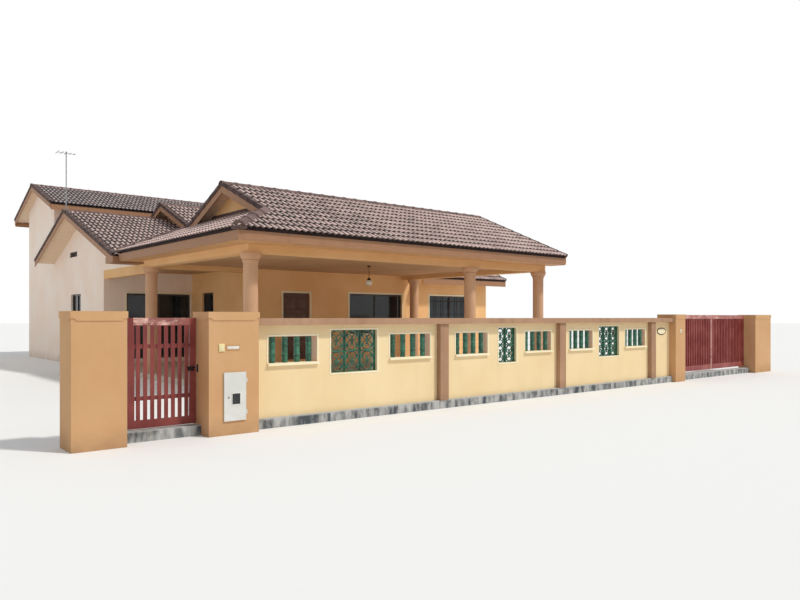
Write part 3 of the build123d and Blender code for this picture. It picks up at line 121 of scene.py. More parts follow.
def repeated(ob, count, step):
    """Lay a row of like pieces, each a step from the last."""
    offsets = {"use_relative_offset": False, "use_constant_offset": True}
    apply_modifier(ob, "ARRAY", count=count, constant_offset_displace=step, **offsets)


def face_outwards(ob):
    edit(ob, everything=True)
    bpy.ops.mesh.remove_doubles(threshold=0.00005)
    bpy.ops.mesh.normals_make_consistent(inside=False)
    leave_edit()


def cut_off(ob, point, outwards, fill=False):
    """Cut a piece along a plane and drop what lies on its outer side."""
    edit(ob, everything=True)
    bpy.ops.mesh.bisect(plane_co=point, plane_no=outwards, clear_outer=True, use_fill=fill)
    leave_edit()


def squared(x0, x1, y0, y1, z0, z1, edge=0.0, segments=1):
    """A squared length between two corners, with its edges eased."""
    clear_selection()
    middle = ((x0 + x1) / 2, (y0 + y1) / 2, (z0 + z1) / 2)
    bpy.ops.mesh.primitive_cube_add(size=1, location=middle)
    ob = resized(bpy.context.object, (x1 - x0, y1 - y0, z1 - z0))
    if edge:
        apply_modifier(ob, "BEVEL", width=edge, segments=segments, limit_method="ANGLE")
    return ob


def turned(rings, sides, at=(0, 0)):
    """A turned form through rings of (height, radius), drawn up from its foot face."""
    clear_selection()
    height, radius = rings[0]
    bpy.ops.mesh.primitive_circle_add(
        vertices=sides, radius=radius, fill_type="NGON", location=(at[0], at[1], height)
    )
    ob = settle(bpy.context.object)
    edit(ob, "FACE", everything=True)
    for next_height, next_radius in rings[1:]:
        rise = (0, 0, next_height - height)
        bpy.ops.mesh.extrude_region_move(TRANSFORM_OT_translate={"value": rise})
        grow = next_radius / radius
        centre = (at[0], at[1], next_height)
        bpy.ops.transform.resize(value=(grow, grow, 1), center_override=centre)
        height, radius = next_height, next_radius
    leave_edit()
    face_outwards(ob)
    return ob


def round_bar(radius, start, end, sides=12):
    """A straight round bar between two points."""
    clear_selection()
    a, b = Vector(start), Vector(end)
    run = b - a
    middle = (a + b) / 2
    bpy.ops.mesh.primitive_cylinder_add(
        vertices=sides, radius=radius, depth=run.length, location=middle
    )
    return placed(bpy.context.object, middle, run.to_track_quat("Z", "Y").to_euler())


def copy_of(ob, location, rotation=(0, 0, 0)):
    """A copy with its own mesh, placed from the origin."""
    twin = ob.copy()
    twin.data = ob.data.copy()
    bpy.context.scene.collection.objects.link(twin)
    return placed(twin, location, rotation)


def joined(pieces):
    clear_selection()
    for piece in pieces:
        piece.select_set(True)
    bpy.context.view_layer.objects.active = pieces[0]
    if len(pieces) > 1:
        bpy.ops.object.join()
    return bpy.context.view_layer.objects.active


def finished(ob, name, surface, slot, smooth=35, body="house"):
    """Name a piece, give it its surface and hang it on its body."""
    take(ob)
    if smooth:
        bpy.ops.object.shade_smooth_by_angle(angle=math.radians(smooth))
    ob.name = name
    ob.data.name = name
    ob.data.materials.clear()
    ob.data.materials.append(surfaces[surface].material)
    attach(ob, body)
    return ob


# ---- Surfaces: colours are given as on a screen, from 0 to 255 ----


def linear(red, green, blue):
    """A screen colour as the shader wants it."""
    parts = (red / 255, green / 255, blue / 255)
    return *(v / 12.92 if v <= 0.04045 else ((v + 0.055) / 1.055) ** 2.4 for v in parts), 1


class Surface:
    """A material under construction, with the few node chains that these finishes share."""

    def __init__(self, name):
        self.material = bpy.data.materials.new(name)
        self.material.use_nodes = True
        self.nodes = self.material.node_tree.nodes
        self.links = self.material.node_tree.links
        self.shader = self.nodes["Principled BSDF"]
        self.place = self.node("TexCoord").outputs["Object"]

    def feed(self, node, inputs):
        """Set inputs to numbers and colours, or link them to other nodes' outputs."""
        for key, value in inputs.items():
            if isinstance(value, bpy.types.NodeSocket):
                self.links.new(value, node.inputs[key])
            else:
                node.inputs[key].default_value = value
        return node

    def node(self, kind, inputs=None):
        return self.feed(self.nodes.new("ShaderNode" + kind), inputs or {})

    def stretched(self, *scale):
        return self.node("Mapping", {"Vector": self.place, "Scale": scale}).outputs["Vector"]

    def noise(self, scale, detail=4.0, rough=0.55, where=None):
        inputs = {"Vector": where or self.place, "Scale": scale, "Detail": detail}
        return self.node("TexNoise", {**inputs, "Roughness": rough}).outputs["Fac"]

    def island(self):
        """A number of its own for each loose piece of a mesh."""
        return self.node("NewGeometry").outputs["Random Per Island"]

    def ramp(self, source, low, high, start=0.0, end=1.0):
        """Spread a value between low and high onto start to end."""
        inputs = {"Value": source, "From Min": low, "From Max": high, "To Min": start}
        return self.node("MapRange", {**inputs, "To Max": end}).outputs["Result"]

    def along(self, axis):
        return self.node("SeparateXYZ", {"Vector": self.place}).outputs[axis]

    def height(self, low, high, start=0.0, end=1.0):
        return self.ramp(self.along("Z"), low, high, start, end)

    def between(self, x0, x1):
        """One where X lies from x0 to x1, else nothing."""
        return self.math("COMPARE", self.along("X"), (x0 + x1) / 2, (x1 - x0) / 2)

    def math(self, kind, *values):
        node = self.node("Math")
        node.operation = kind
        return self.feed(node, dict(enumerate(values))).outputs["Value"]

    def times(self, a, b):
        return self.math("MULTIPLY", a, b)

    def mix(self, amount, a, b):
        """Blend two colours, given as numbers or as sockets."""
        node = self.node("Mix")
        node.data_type = "RGBA"
        a, b = (linear(*colour) if isinstance(colour, tuple) else colour for colour in (a, b))
        return self.feed(node, {"Factor": amount, "A": a, "B": b}).outputs["Result"]

    def colour(self, source):
        self.feed(self.shader, {"Base Color": source})

    def rough(self, source, low, high):
        """Roughness from low to high over the middle of a noise."""
        self.feed(self.shader, {"Roughness": self.ramp(source, 0.3, 0.7, low, high)})

    def bump(self, source, depth):
        node = self.node("Bump", {"Height": source, "Distance": depth})
        self.feed(self.shader, {"Normal": node.outputs["Normal"]})


def painted_render(s, paint, faded, grime, splash=0.35, rain=0.10, coarse=90.0):
    """Matt paint on cement render: faded patches, runs of rain and a foot splashed to a height."""
    patches = s.ramp(s.noise(0.9, 5), 0.38, 0.64)
    runs = s.ramp(s.noise(1.0, 6, 0.6, s.stretched(4.5, 4.5, 0.6)), 0.50, 0.74)
    base = s.mix(patches, paint, faded)
    base = s.mix(s.times(runs, rain), base, grime)
    if splash:
        foot = s.height(0.0, splash, 0.55, 0.0)
        ragged = s.times(foot, s.ramp(s.noise(4.0, 5), 0.3, 0.7, 0.3, 1.3))
        base = s.mix(ragged, base, grime)
    s.colour(base)
    s.rough(s.noise(14.0), 0.78, 0.92)
    grain = s.math("ADD", s.noise(coarse, 6, 0.6), s.times(s.noise(6.0, 2), 0.5))
    s.bump(grain, 0.0018)


def worn_clay(s, dark, light, lichen):
    """Ridge and verge tiles: each its own shade, with pale crusts."""
    shade = s.ramp(s.island(), 0.0, 1.0, 0.0, 0.9)
    worn = s.ramp(s.noise(11.0, 6, 0.65), 0.42, 0.68)
    base = s.mix(s.times(s.math("ADD", shade, worn), 0.5), dark, light)
    crust = s.ramp(s.noise(38.0, 5, 0.7), 0.60, 0.72)
    s.colour(s.mix(s.times(crust, 0.35), base, lichen))
    s.rough(s.noise(20.0), 0.72, 0.9)
    s.bump(s.noise(120.0, 5, 0.7), 0.0012)


def weathered_and_shaded_tile(s, pan, crest, lichen):
    """Wavy roof tile with painted light: pale crests and noses as painted highlights, dark pans and
    heads as painted shade and shadow, and each tile its own tone, with wear and lichen.
    """
    marks = s.node("Attribute")
    marks.attribute_name = "light_and_shade_marks"
    split = s.node("SeparateColor", {"Color": marks.outputs["Color"]})
    rise, back = split.outputs["Red"], split.outputs["Green"]
    tone = s.ramp(s.island(), 0.0, 1.0, -0.20, 0.16)
    wear = s.ramp(s.noise(9.0, 6, 0.65), 0.35, 0.68, -0.24, 0.24)
    height = s.math("ADD", rise, s.math("ADD", tone, wear))
    # painted highlight on the crests and painted shade in the pans, their edge moved by the wear
    # noise
    base = s.mix(s.ramp(height, 0.10, 0.80, 0.12, 1.0), pan, crest)
    # painted highlight along the nose
    nose = s.ramp(back, 0.0, 0.07, 0.5, 0.0)
    base = s.mix(nose, base, crest)
    # painted shadow: in the pans below the next tile's nose, across the head under that nose, and
    # on the nose's front edge
    hollow = s.ramp(s.math("ADD", rise, s.times(wear, 0.5)), 0.42, 0.66, 1.0, 0.0)
    painted_nose_shadow = s.times(s.ramp(back, 0.32, 0.44), hollow)
    painted_nose_shadow = s.math("MAXIMUM", painted_nose_shadow, s.ramp(back, 0.62, 0.78))
    painted_nose_shadow = s.math("MAXIMUM", painted_nose_shadow, s.ramp(back, 0.0, 0.004, 1.0, 0.0))
    base = s.mix(painted_nose_shadow, base, pan)
    crust = s.ramp(s.noise(38.0, 5, 0.7), 0.58, 0.70)
    base = s.mix(s.times(crust, 0.30), base, lichen)
    broad = s.ramp(s.noise(0.6, 4), 0.38, 0.66)
    s.colour(s.mix(s.times(broad, 0.12), base, pan))
    s.rough(s.noise(20.0), 0.70, 0.88)
    s.bump(s.noise(120.0, 5, 0.7), 0.0012)


def painted_steel(s, paint, faded, rust, rough=0.45, bleached=()):
    """Gloss paint on steel, chalked and rusting at the foot.

    A bleached place is X from and to, the height it starts at, how rare and how strong it is.
    """
    chalk = s.ramp(s.noise(2.6, 5), 0.42, 0.66)
    base = s.mix(chalk, paint, faded)
    foot = s.height(0.15, 0.75, 1.0, 0.15)
    specks = s.times(s.ramp(s.noise(42.0, 6, 0.7), 0.62, 0.70), foot)
    base = s.mix(specks, base, rust)
    for x0, x1, low, rarity, strength in bleached:
        rail = s.times(s.height(low, low + 0.01), s.between(x0, x1))
        patches = s.noise(3.4, 6, 0.72, s.stretched(1.0, 1.0, 2.0))
        flaked = s.ramp(patches, rarity, rarity + 0.12, 0.12, strength)
        base = s.mix(s.times(rail, flaked), base, (244, 200, 186))
    s.colour(base)
    s.rough(s.noise(9.0), rough - 0.08, rough + 0.14)
    s.bump(s.noise(55.0, 3), 0.0004)


def painted_board(s, paint, faded, grime):
    """Paint on timber boards, with the grain and some weathering showing."""
    grain = s.noise(9.0, 5, 0.6, s.stretched(0.35, 0.35, 6.0))
    base = s.mix(s.ramp(grain, 0.35, 0.7), paint, faded)
    runs = s.ramp(s.noise(1.4, 5, 0.6, s.stretched(6.0, 6.0, 0.6)), 0.55, 0.8)
    s.colour(s.mix(s.times(runs, 0.35), base, grime))
    s.rough(grain, 0.5, 0.7)
    s.bump(grain, 0.0006)


def bare_concrete(s, pale, dark, moss, clouds=2.2, edge=0.165, crown=None):
    """Cement grey with darker clouds, pits and a little moss; under a pale crown they are runs."""
    where = s.stretched(1.0, 1.0, 0.3) if crown else None
    cloud = s.ramp(s.noise(clouds, 7, 0.6, where), 0.515 - edge, 0.515 + edge)
    if crown:
        cloud = s.times(cloud, s.height(crown - 0.022, crown, 1.0, 0.1))
    base = s.mix(cloud, pale, dark)
    pits = s.ramp(s.noise(60.0, 4, 0.7), 0.60, 0.68)
    base = s.mix(s.times(pits, 0.6), base, dark)
    growth = s.ramp(s.noise(3.4, 6, 0.65), 0.58, 0.74)
    s.colour(s.mix(s.times(growth, 0.5), base, moss))
    s.rough(s.noise(25.0), 0.8, 0.95)
    s.bump(s.noise(75.0, 6, 0.65), 0.003)


def glazed_block(s, glaze, pale, deep):
    """Green glaze, cloudy and worn pale in spots."""
    cloud = s.ramp(s.noise(13.0, 6, 0.65), 0.36, 0.66)
    base = s.mix(cloud, deep, glaze)
    chalk = s.ramp(s.noise(45.0, 5, 0.7), 0.56, 0.70)
    s.colour(s.mix(s.times(chalk, 0.6), base, pale))
    s.rough(s.noise(30.0), 0.28, 0.55)
    s.bump(s.noise(70.0, 4), 0.001)


def plain_metal(s, bright, dull, rough):
    """Bare metal, dulled in patches."""
    s.feed(s.shader, {"Metallic": 1.0})
    s.colour(s.mix(s.ramp(s.noise(16.0, 5), 0.35, 0.65), bright, dull))
    s.rough(s.noise(32.0), rough - 0.06, rough + 0.12)
    s.bump(s.noise(90.0, 3), 0.0002)


def moulded(s, colour, yellowed, rough=0.4):
    """Plastic or opal glass, gone a little uneven."""
    s.colour(s.mix(s.ramp(s.noise(8.0, 4), 0.35, 0.7), colour, yellowed))
    s.rough(s.noise(40.0), rough - 0.06, rough + 0.1)
    s.bump(s.noise(220.0, 3), 0.0001)


def varnished_wood(s, dark, light):
    """Upright grain under varnish."""
    grain = s.noise(16.0, 7, 0.62, s.stretched(5.0, 5.0, 0.35))
    s.colour(s.mix(s.ramp(grain, 0.36, 0.68), dark, light))
    s.rough(grain, 0.34, 0.5)
    s.bump(grain, 0.0005)


def window_pane(s, dim, lit):
    """Dark glass that lets little through, with a faint film of dust."""
    s.feed(s.shader, {"IOR": 1.45, "Transmission Weight": 0.2})
    s.colour(s.mix(s.ramp(s.noise(1.2, 3), 0.3, 0.7), dim, lit))
    s.rough(s.noise(3.0, 4), 0.04, 0.12)
    s.bump(s.noise(1.5, 2), 0.0006)


def tiled_floor(s, tile, worn, joint):
    """Square floor tiles, with their joints, over the concrete slab."""
    sizes = {"Scale": 1.0, "Mortar Size": 0.004, "Brick Width": 0.4, "Row Height": 0.4}
    tones = {"Color1": linear(*tile), "Color2": linear(*worn), "Mortar": linear(*joint)}
    bricks = s.node("TexBrick", {"Vector": s.place, **sizes, **tones})
    bricks.offset = 0.0
    stains = s.ramp(s.noise(2.4, 6, 0.6), 0.5, 0.75, 0.0, 0.4)
    s.colour(s.mix(stains, bricks.outputs["Color"], joint))
    s.rough(s.noise(12.0), 0.38, 0.6)
    s.bump(bricks.outputs["Fac"], -0.002)


GATE_RED = ((118, 42, 38), (138, 60, 54), (84, 44, 32))
WALK_GATE_RAIL = (-9.2, -8.413, 1.542, 0.475, 0.9)
DRIVE_GATE_RAIL = (4.9, 9.0, 1.612, 0.50, 0.55)
DRIVE_GATE_MEETING = (6.91, 6.958, 0.2, 0.40, 0.55)  # the edge where the two leaves meet

FINISHES = {  # each row has the surface's name, its colours and then its finish's own settings
    painted_render: (
        ("hall_paint", (242, 190, 130), (248, 200, 142), (186, 146, 100), 0, 0.04),
        ("house_paint", (252, 230, 212), (254, 237, 222), (200, 178, 158)),
        ("wall_paint", (238, 212, 164), (243, 219, 174), (196, 174, 132), 0.22),
        ("pier_paint", (203, 156, 109), (210, 165, 119), (160, 124, 90), 0.3),
        ("band_paint", (168, 129, 100), (181, 142, 113), (104, 84, 66), 0.35, 0.45),
        ("surround_paint", (246, 232, 196), (250, 240, 212), (196, 180, 146), 0),
        ("reveal_paint", (240, 198, 170), (246, 208, 182), (180, 140, 116), 0, 0.05),
        ("beam_paint", (233, 184, 126), (239, 193, 138), (182, 142, 96), 0, 0.05),
        ("column_paint", (206, 160, 124), (216, 172, 136), (158, 122, 94), 0.5),
        ("ceiling_paint", (198, 152, 110), (208, 164, 122), (166, 130, 94), 0, 0.0, 30.0),
    ),
    painted_board: (
        ("soffit_paint", (208, 158, 106), (218, 170, 120), (164, 124, 82)),
        ("board_paint", (158, 112, 79), (172, 129, 95), (108, 79, 58)),
        ("lining_paint", (230, 202, 170), (238, 213, 184), (180, 152, 124)),
    ),
    weathered_and_shaded_tile: (
        # dark pan colour (painted shade and shadow, also dirt in broad patches), pale crest colour
        # (painted highlight), lichen
        ("tile_surface", (26, 18, 18), (219, 190, 182), (184, 162, 154)),
        ("block_tile_surface", (24, 20, 22), (190, 172, 170), (166, 156, 152)),
    ),
    worn_clay: (
        ("verge_surface", (54, 40, 38), (106, 80, 74), (144, 126, 118)),
        ("ridge_surface", (76, 56, 54), (142, 116, 110), (176, 160, 152)),
    ),
    bare_concrete: (
        ("bedding", (120, 98, 88), (84, 68, 62), (70, 66, 54)),
        ("underlay", (62, 46, 42), (46, 34, 32), (52, 48, 40)),
        ("kerb_concrete", (184, 183, 180), (72, 77, 82), (84, 90, 66), 7.5, 0.11, 0.146),
        ("floor_concrete", (176, 170, 158), (150, 144, 134), (140, 136, 120)),
    ),
    tiled_floor: (("porch_tiles", (206, 196, 178), (196, 184, 164), (140, 130, 116)),),
    painted_steel: (
        ("gate_paint", *GATE_RED),
        ("sunned_paint", *GATE_RED, 0.45, (WALK_GATE_RAIL,)),
        (
            "drive_paint",
            *((140, 60, 54), (162, 86, 78), (92, 50, 38)),
            0.45,
            (DRIVE_GATE_RAIL, DRIVE_GATE_MEETING),
        ),
        ("meter_paint", (214, 214, 208), (224, 224, 220), (150, 110, 80), 0.4),
        ("frame_enamel", (52, 46, 42), (66, 58, 54), (40, 34, 30), 0.35),
    ),
    plain_metal: (
        ("pin_steel", (120, 110, 104), (84, 66, 56), 0.5),
        ("dark_iron", (60, 52, 50), (40, 34, 32), 0.55),
        ("mast_alloy", (160, 162, 164), (126, 128, 132), 0.42),
    ),
    glazed_block: (("green_glaze", (56, 128, 100), (146, 184, 160), (20, 64, 50)),),
    varnished_wood: (("door_varnish", (70, 42, 26), (112, 72, 44)),),
    moulded: (
        ("cream_plastic", (240, 226, 172), (228, 210, 150)),
        ("white_plastic", (236, 234, 228), (222, 218, 206)),
        ("opal_glass", (244, 238, 224), (236, 228, 206), 0.25),
        ("dark_window", (36, 38, 40), (52, 54, 54), 0.15),
    ),
    window_pane: (("pane", (24, 30, 34), (44, 52, 56)),),
}
surfaces = {}
for finish, rows in FINISHES.items():
    for name, *settings in rows:
        surfaces[name] = Surface(name)
        finish(surfaces[name], *settings)

NODE_SURFACES = {
    "hall_paint": "hall_front_wall hall_left_wall hall_right_wall hall_back_wall porch_gablet_wall",
    "house_paint": (
        "wing_front_wall wing_left_wall "
        "block_front_wall block_back_wall block_left_wall block_right_wall"
    ),
    "wall_paint": "boundary_wall",
    "pier_paint": "gate_piers meter_pier",
    "band_paint": "wall_coping wall_pilasters",
    "surround_paint": "opening_sills",
    "beam_paint": "porch_front_beam porch_left_beam porch_right_gable terrace_beams",
    "column_paint": "porch_columns",
    "ceiling_paint": "ceilings",
    "soffit_paint": "porch_soffit",
    "board_paint": "fascia_boards barge_boards valley_gutter",
    "underlay": (
        "porch_roof_front porch_roof_back porch_roof_skirt hall_roof_front hall_roof_back "
        "wing_roof_front wing_roof_back block_roof_front block_roof_back"
    ),
    "bedding": "ridge_tiles",
    "kerb_concrete": "wall_kerb",
    "floor_concrete": "house_floor upper_floor",
    "porch_tiles": "porch_floor",
    "gate_paint": "gate_jamb_post",
    "drive_paint": "main_gate_left main_gate_right",
    "sunned_paint": "pedestrian_gate",
    "pin_steel": "gate_hinge_pins",
    "mast_alloy": "tv_mast",
    "meter_paint": "meter_cabinet meter_door",
    "frame_enamel": "window_frames sliding_door",
    "green_glaze": "breeze_screens bamboo_balusters",
    "door_varnish": "house_doors",
    "cream_plastic": "pier_fittings",
    "opal_glass": "porch_lamp",
    "pane": "window_glass sliding_door_glass",
}
for surface, names in NODE_SURFACES.items():
    for node_name in names.split():
        for material_slot in frame["nodes"][node_name].material_slots:
            material_slot.link = "OBJECT"
            material_slot.material = surfaces[surface].material


# ---- Roof tiles ----

TILE_W = 0.308
TILE_GAUGE = 0.38
TILE_LAP = 0.05
TILE_T = 0.014
TILE_LIFT = 0.020  # the nose rests on the tile below
TILE_LEVEL = 0.016  # top of the pans over the slab
TILE_GAP = 0.0015
EAVE_OVERHANG = 0.075
HALF_WAVE = (0.009, 0.018, 0.009)  # rise of each sixth of a wave, from pan to crest
CREST = sum(HALF_WAVE)


def wave_tile(width):
    """One tile of two waves at the origin, its nose towards -Y, marked for its painted light and
    shade.
    """
    rises = [step * side for _ in range(2) for side in (1, -1) for step in HALF_WAVE]
    part = (width - TILE_GAP) / len(rises)
    length = TILE_GAUGE + TILE_LAP
    clear_selection()
    bpy.ops.mesh.primitive_plane_add(size=1, location=(0.5, 0.5, 0))
    ob = resized(settle(bpy.context.object), (part, length, 1))
    edit(ob)
    pick(ob, "VERT", lambda p: p.x > part / 2)
    bpy.ops.transform.translate(value=(0, 0, rises[0]))
    pick(ob, "EDGE", lambda p: p.x > part * 0.99)
    for rise in rises[1:]:
        bpy.ops.mesh.extrude_edges_move(TRANSFORM_OT_translate={"value": (part, 0, rise)})
    leave_edit()
    # each point's rise in the wave and its distance from the nose, which place the tile's painted
    # highlights and shadows
    marks = ob.data.color_attributes.new("light_and_shade_marks", "FLOAT_COLOR", "POINT")
    for vertex, mark in zip(ob.data.vertices, marks.data):
        mark.color = (vertex.co.z / CREST, vertex.co.y / length, 0, 1)
    edit(ob, everything=True)
    bpy.ops.transform.translate(value=(0, 0, TILE_LEVEL))
    pick(ob, "VERT", lambda p: p.y < 0.001)
    bpy.ops.transform.translate(value=(0, 0, TILE_LIFT))
    leave_edit()
    face_outwards(ob)
    if sum(polygon.normal.z for polygon in ob.data.polygons) < 0:
        edit(ob, everything=True)
        bpy.ops.mesh.flip_normals()
        leave_edit()
    apply_modifier(ob, "SOLIDIFY", thickness=TILE_T, offset=-1.0)
    return ob


def tile_courses(width, run):
    """Courses of tiles flat on the ground, from the origin: width along X, run along Y."""
    across = max(1, round(width / TILE_W))
    courses = math.ceil((run + EAVE_OVERHANG) / TILE_GAUGE)
    ob = wave_tile(width / across)
    repeated(ob, across, (width / across, 0, 0))
    repeated(ob, courses, (0, TILE_GAUGE, 0))
    return placed(ob, (0, -EAVE_OVERHANG, 0))


def trimmed(ob, *cuts):
    """Cut a piece along planes, each a point and the direction that is dropped."""
    for point, outwards in cuts:
        cut_off(ob, point, outwards)
    return ob


FORWARD = 0.0
BACKWARD = math.pi
FROM_LEFT = -math.pi / 2


def before(y):
    """The cut that drops what lies nearer the street."""
    return (0, y, 0), (0, -1, 0)


def behind(y):
    """The cut that drops what lies further back."""
    return (0, y, 0), (0, 1, 0)


class Roof:
    """A gabled roof in the frame, by the top of its slab."""

    def __init__(self, eave_y, eave_z, ridge_y, ridge_z):
        self.eave_y, self.eave_z, self.ridge_y, self.ridge_z = eave_y, eave_z, ridge_y, ridge_z
        self.pitch = math.atan2(ridge_z - eave_z, ridge_y - eave_y)

    def top(self, y):
        return self.ridge_z - abs(y - self.ridge_y) * math.tan(self.pitch)

    def lay(self, ob, x0, x1, y):
        """Put what was made along +Y on the slope that starts at Y, from its left end."""
        back = y > self.ridge_y
        turn = BACKWARD if back else FORWARD
        return placed(ob, (x1 if back else x0, y, self.top(y)), (self.pitch, 0, turn))

    def run(self, y):
        """How far it is up the slope from Y to the ridge."""
        return abs(self.ridge_y - y) / math.cos(self.pitch)

    def ridge_cut(self, y):
        """The cut at the ridge of the slope that starts at Y."""
        return (before if y > self.ridge_y else behind)(self.ridge_y)

    def tiled(self, x0, x1, y, *cuts):
        ob = tile_courses(x1 - x0, self.run(y))
        return trimmed(self.lay(ob, x0, x1, y), self.ridge_cut(y), *cuts)


porch = Roof(-8.85, 3.45, -5.35, 4.95)
hall = Roof(-1.85, 3.45, 3.35, 5.70)
wing = Roof(-1.25, 3.40, 3.65, 5.19)
block = Roof(6.75, 5.93, 9.55, 6.94)

BOARD_T = 0.025  # fascia and barge boards
SIDE_OVERHANG = 0.06
PORCH_LEFT, PORCH_RIGHT, PORCH_BACK = -6.04, 4.50, -1.85
GABLET_X, GABLET_WALL_X = -4.67, -4.30
GABLET_BOARD_X = GABLET_X - BOARD_T
HALL_LEFT, HALL_RIGHT, HALL_STEP = -2.84, 9.0, 4.525
HALL_LOW_EAVE, HALL_BACK_EAVE = -2.55, 8.55  # right of the porch, and right of the block
WING_LEFT, WING_RIGHT = -6.0, -2.40
BLOCK_LEFT, BLOCK_RIGHT, BLOCK_BACK_EAVE = -5.67, 3.82, 12.55

# Outer faces of the walls and beams under these roofs
FRONT_FACE, HALL_RIGHT_FACE = -2.05, 8.40
BLOCK_LEFT_FACE, BLOCK_RIGHT_FACE = -5.35, 3.50
BLOCK_FRONT_FACE, BLOCK_BACK_FACE = 7.55, 11.55
PORCH_RIGHT_FACE = 4.25

hip_front = (PORCH_LEFT, porch.eave_y, 0)
hip_back = (PORCH_LEFT, PORCH_BACK, 0)
left_of_front_hip = (hip_front, (-1, 1, 0))
left_of_back_hip = (hip_back, (-1, -1, 0))
skirt_left = PORCH_LEFT - SIDE_OVERHANG
at_block = behind(BLOCK_FRONT_FACE)


def skirt_tiled():
    """The porch's left slope: between its hips, and up to the gablet's wall."""
    run = (GABLET_WALL_X - PORCH_LEFT) / math.cos(porch.pitch)
    ob = tile_courses(PORCH_BACK - porch.eave_y, run)
    placed(ob, (PORCH_LEFT, PORCH_BACK, porch.eave_z), (porch.pitch, 0, FROM_LEFT))
    at_wall = ((GABLET_WALL_X, 0, 0), (1, 0, 0))
    return trimmed(ob, (hip_front, (1, -1, 0)), (hip_back, (1, 1, 0)), at_wall)


field_slopes = {
    "porch_front_tiles": (
        porch.tiled(GABLET_BOARD_X, PORCH_RIGHT, porch.eave_y),
        porch.tiled(skirt_left, GABLET_BOARD_X, porch.eave_y, left_of_front_hip),
    ),
    "porch_back_tiles": (
        porch.tiled(GABLET_BOARD_X, PORCH_RIGHT, PORCH_BACK),
        porch.tiled(skirt_left, GABLET_BOARD_X, PORCH_BACK, left_of_back_hip),
    ),
    "porch_skirt_tiles": (skirt_tiled(),),
    "hall_front_tiles": (
        hall.tiled(HALL_STEP, HALL_RIGHT, HALL_LOW_EAVE),
        hall.tiled(HALL_LEFT, HALL_STEP, HALL_LOW_EAVE, before(hall.eave_y)),
    ),
    "hall_back_tiles": (
        hall.tiled(BLOCK_RIGHT_FACE, HALL_RIGHT, HALL_BACK_EAVE),
        hall.tiled(HALL_LEFT, BLOCK_RIGHT_FACE, HALL_BACK_EAVE, at_block),
    ),
    "wing_front_tiles": (wing.tiled(WING_LEFT, WING_RIGHT, wing.eave_y),),
    "wing_back_tiles": (wing.tiled(WING_LEFT, WING_RIGHT, BLOCK_FRONT_FACE, at_block),),
    "block_front_tiles": (block.tiled(BLOCK_LEFT, BLOCK_RIGHT, block.eave_y),),
    "block_back_tiles": (block.tiled(BLOCK_LEFT, BLOCK_RIGHT, BLOCK_BACK_EAVE),),
}
for tiles_name, fields in field_slopes.items():
    surface = "block_tile_surface" if tiles_name.startswith("block") else "tile_surface"
    finished(joined(list(fields)), tiles_name, surface, "roof_tiles", 50)

# ---- Ridge and hip tiles ----

RIDGE_TILE_L = 0.37
HIP_TILE_L = 0.45
RIDGE_TILE_R = 0.127
HIP_TILE_R = 0.140
RIDGE_TILE_T = 0.014
RIDGE_LAP = 0.03
RIDGE_SINK = 0.045
RIDGE_OUT = 0.03  # past the last roof tile


def lying_cylinder(radius, depth, x, **ends):
    """A cylinder along X, its middle at x."""
    clear_selection()
    place = {"location": (x, 0, 0), "rotation": (0, math.pi / 2, 0)}
    bpy.ops.mesh.primitive_cylinder_add(vertices=20, radius=radius, depth=depth, **place, **ends)
    return settle(bpy.context.object)


def ridge_tile(length, radius, collar):
    """One half-round tile along +X from the origin, its collar at the far end."""
    whole = length + RIDGE_LAP
    ob = lying_cylinder(radius, whole, whole / 2, end_fill_type="NOTHING")
    edit(ob, everything=True)
    bpy.ops.mesh.bisect(plane_co=(0, 0, -0.012), plane_no=(0, 0, -1), clear_outer=True)
    for x in (length - 0.050, length - 0.038):
        bpy.ops.mesh.select_all(action="SELECT")
        bpy.ops.mesh.bisect(plane_co=(x, 0, 0), plane_no=(1, 0, 0))
    pick(ob, "VERT", lambda p: p.x > length - 0.044)
    bpy.ops.transform.resize(value=(1, collar, collar), center_override=(0, 0, 0))
    leave_edit()
    face_outwards(ob)
    apply_modifier(ob, "SOLIDIFY", thickness=RIDGE_TILE_T, offset=-1.0)
    return ob


def ridge_run(start, run, length, tile_length=RIDGE_TILE_L, radius=RIDGE_TILE_R, collar=1.08):
    """Ridge tiles from a point along a direction."""
    count = max(1, round(length / tile_length))
    ob = ridge_tile(length / count, radius, collar)
    repeated(ob, count, (length / count, 0, 0))
    return placed(ob, start, Vector(run).to_track_quat("X", "Z").to_euler())


def roof_ridge(roof, x0, x1):
    return ridge_run((x1, roof.ridge_y, roof.ridge_z - RIDGE_SINK), (-1, 0, 0), x1 - x0)


def hip_end(reach):
    """The rounded mortar end of a hip, at a distance along +X."""
    ob = lying_cylinder(HIP_TILE_R * 1.10, 0.05, reach)
    cut_off(ob, (0, 0, -0.03), (0, 0, -1), fill=True)
    face_outwards(ob)
    apply_modifier(ob, "BEVEL", width=0.016, segments=3, limit_method="ANGLE")
    return ob


def hip_run(corner_y, into_plot):
    """Tiles down one hip of the porch, from the little gable to the eave's corner."""
    slope = math.tan(porch.pitch)
    length = (GABLET_X - PORCH_LEFT - RIDGE_OUT) * math.sqrt(2 + slope * slope)
    direction = Vector((1, into_plot, slope)).normalized()
    corner = Vector((PORCH_LEFT, corner_y, porch.eave_z))
    top = corner + direction * length + Vector((0, 0, -0.035))
    tiles = ridge_run(top, -direction, length - 0.06, HIP_TILE_L, HIP_TILE_R, 1.12)
    end = placed(hip_end(length - 0.045), top, (-direction).to_track_quat("X", "Z").to_euler())
    return joined([tiles, end])


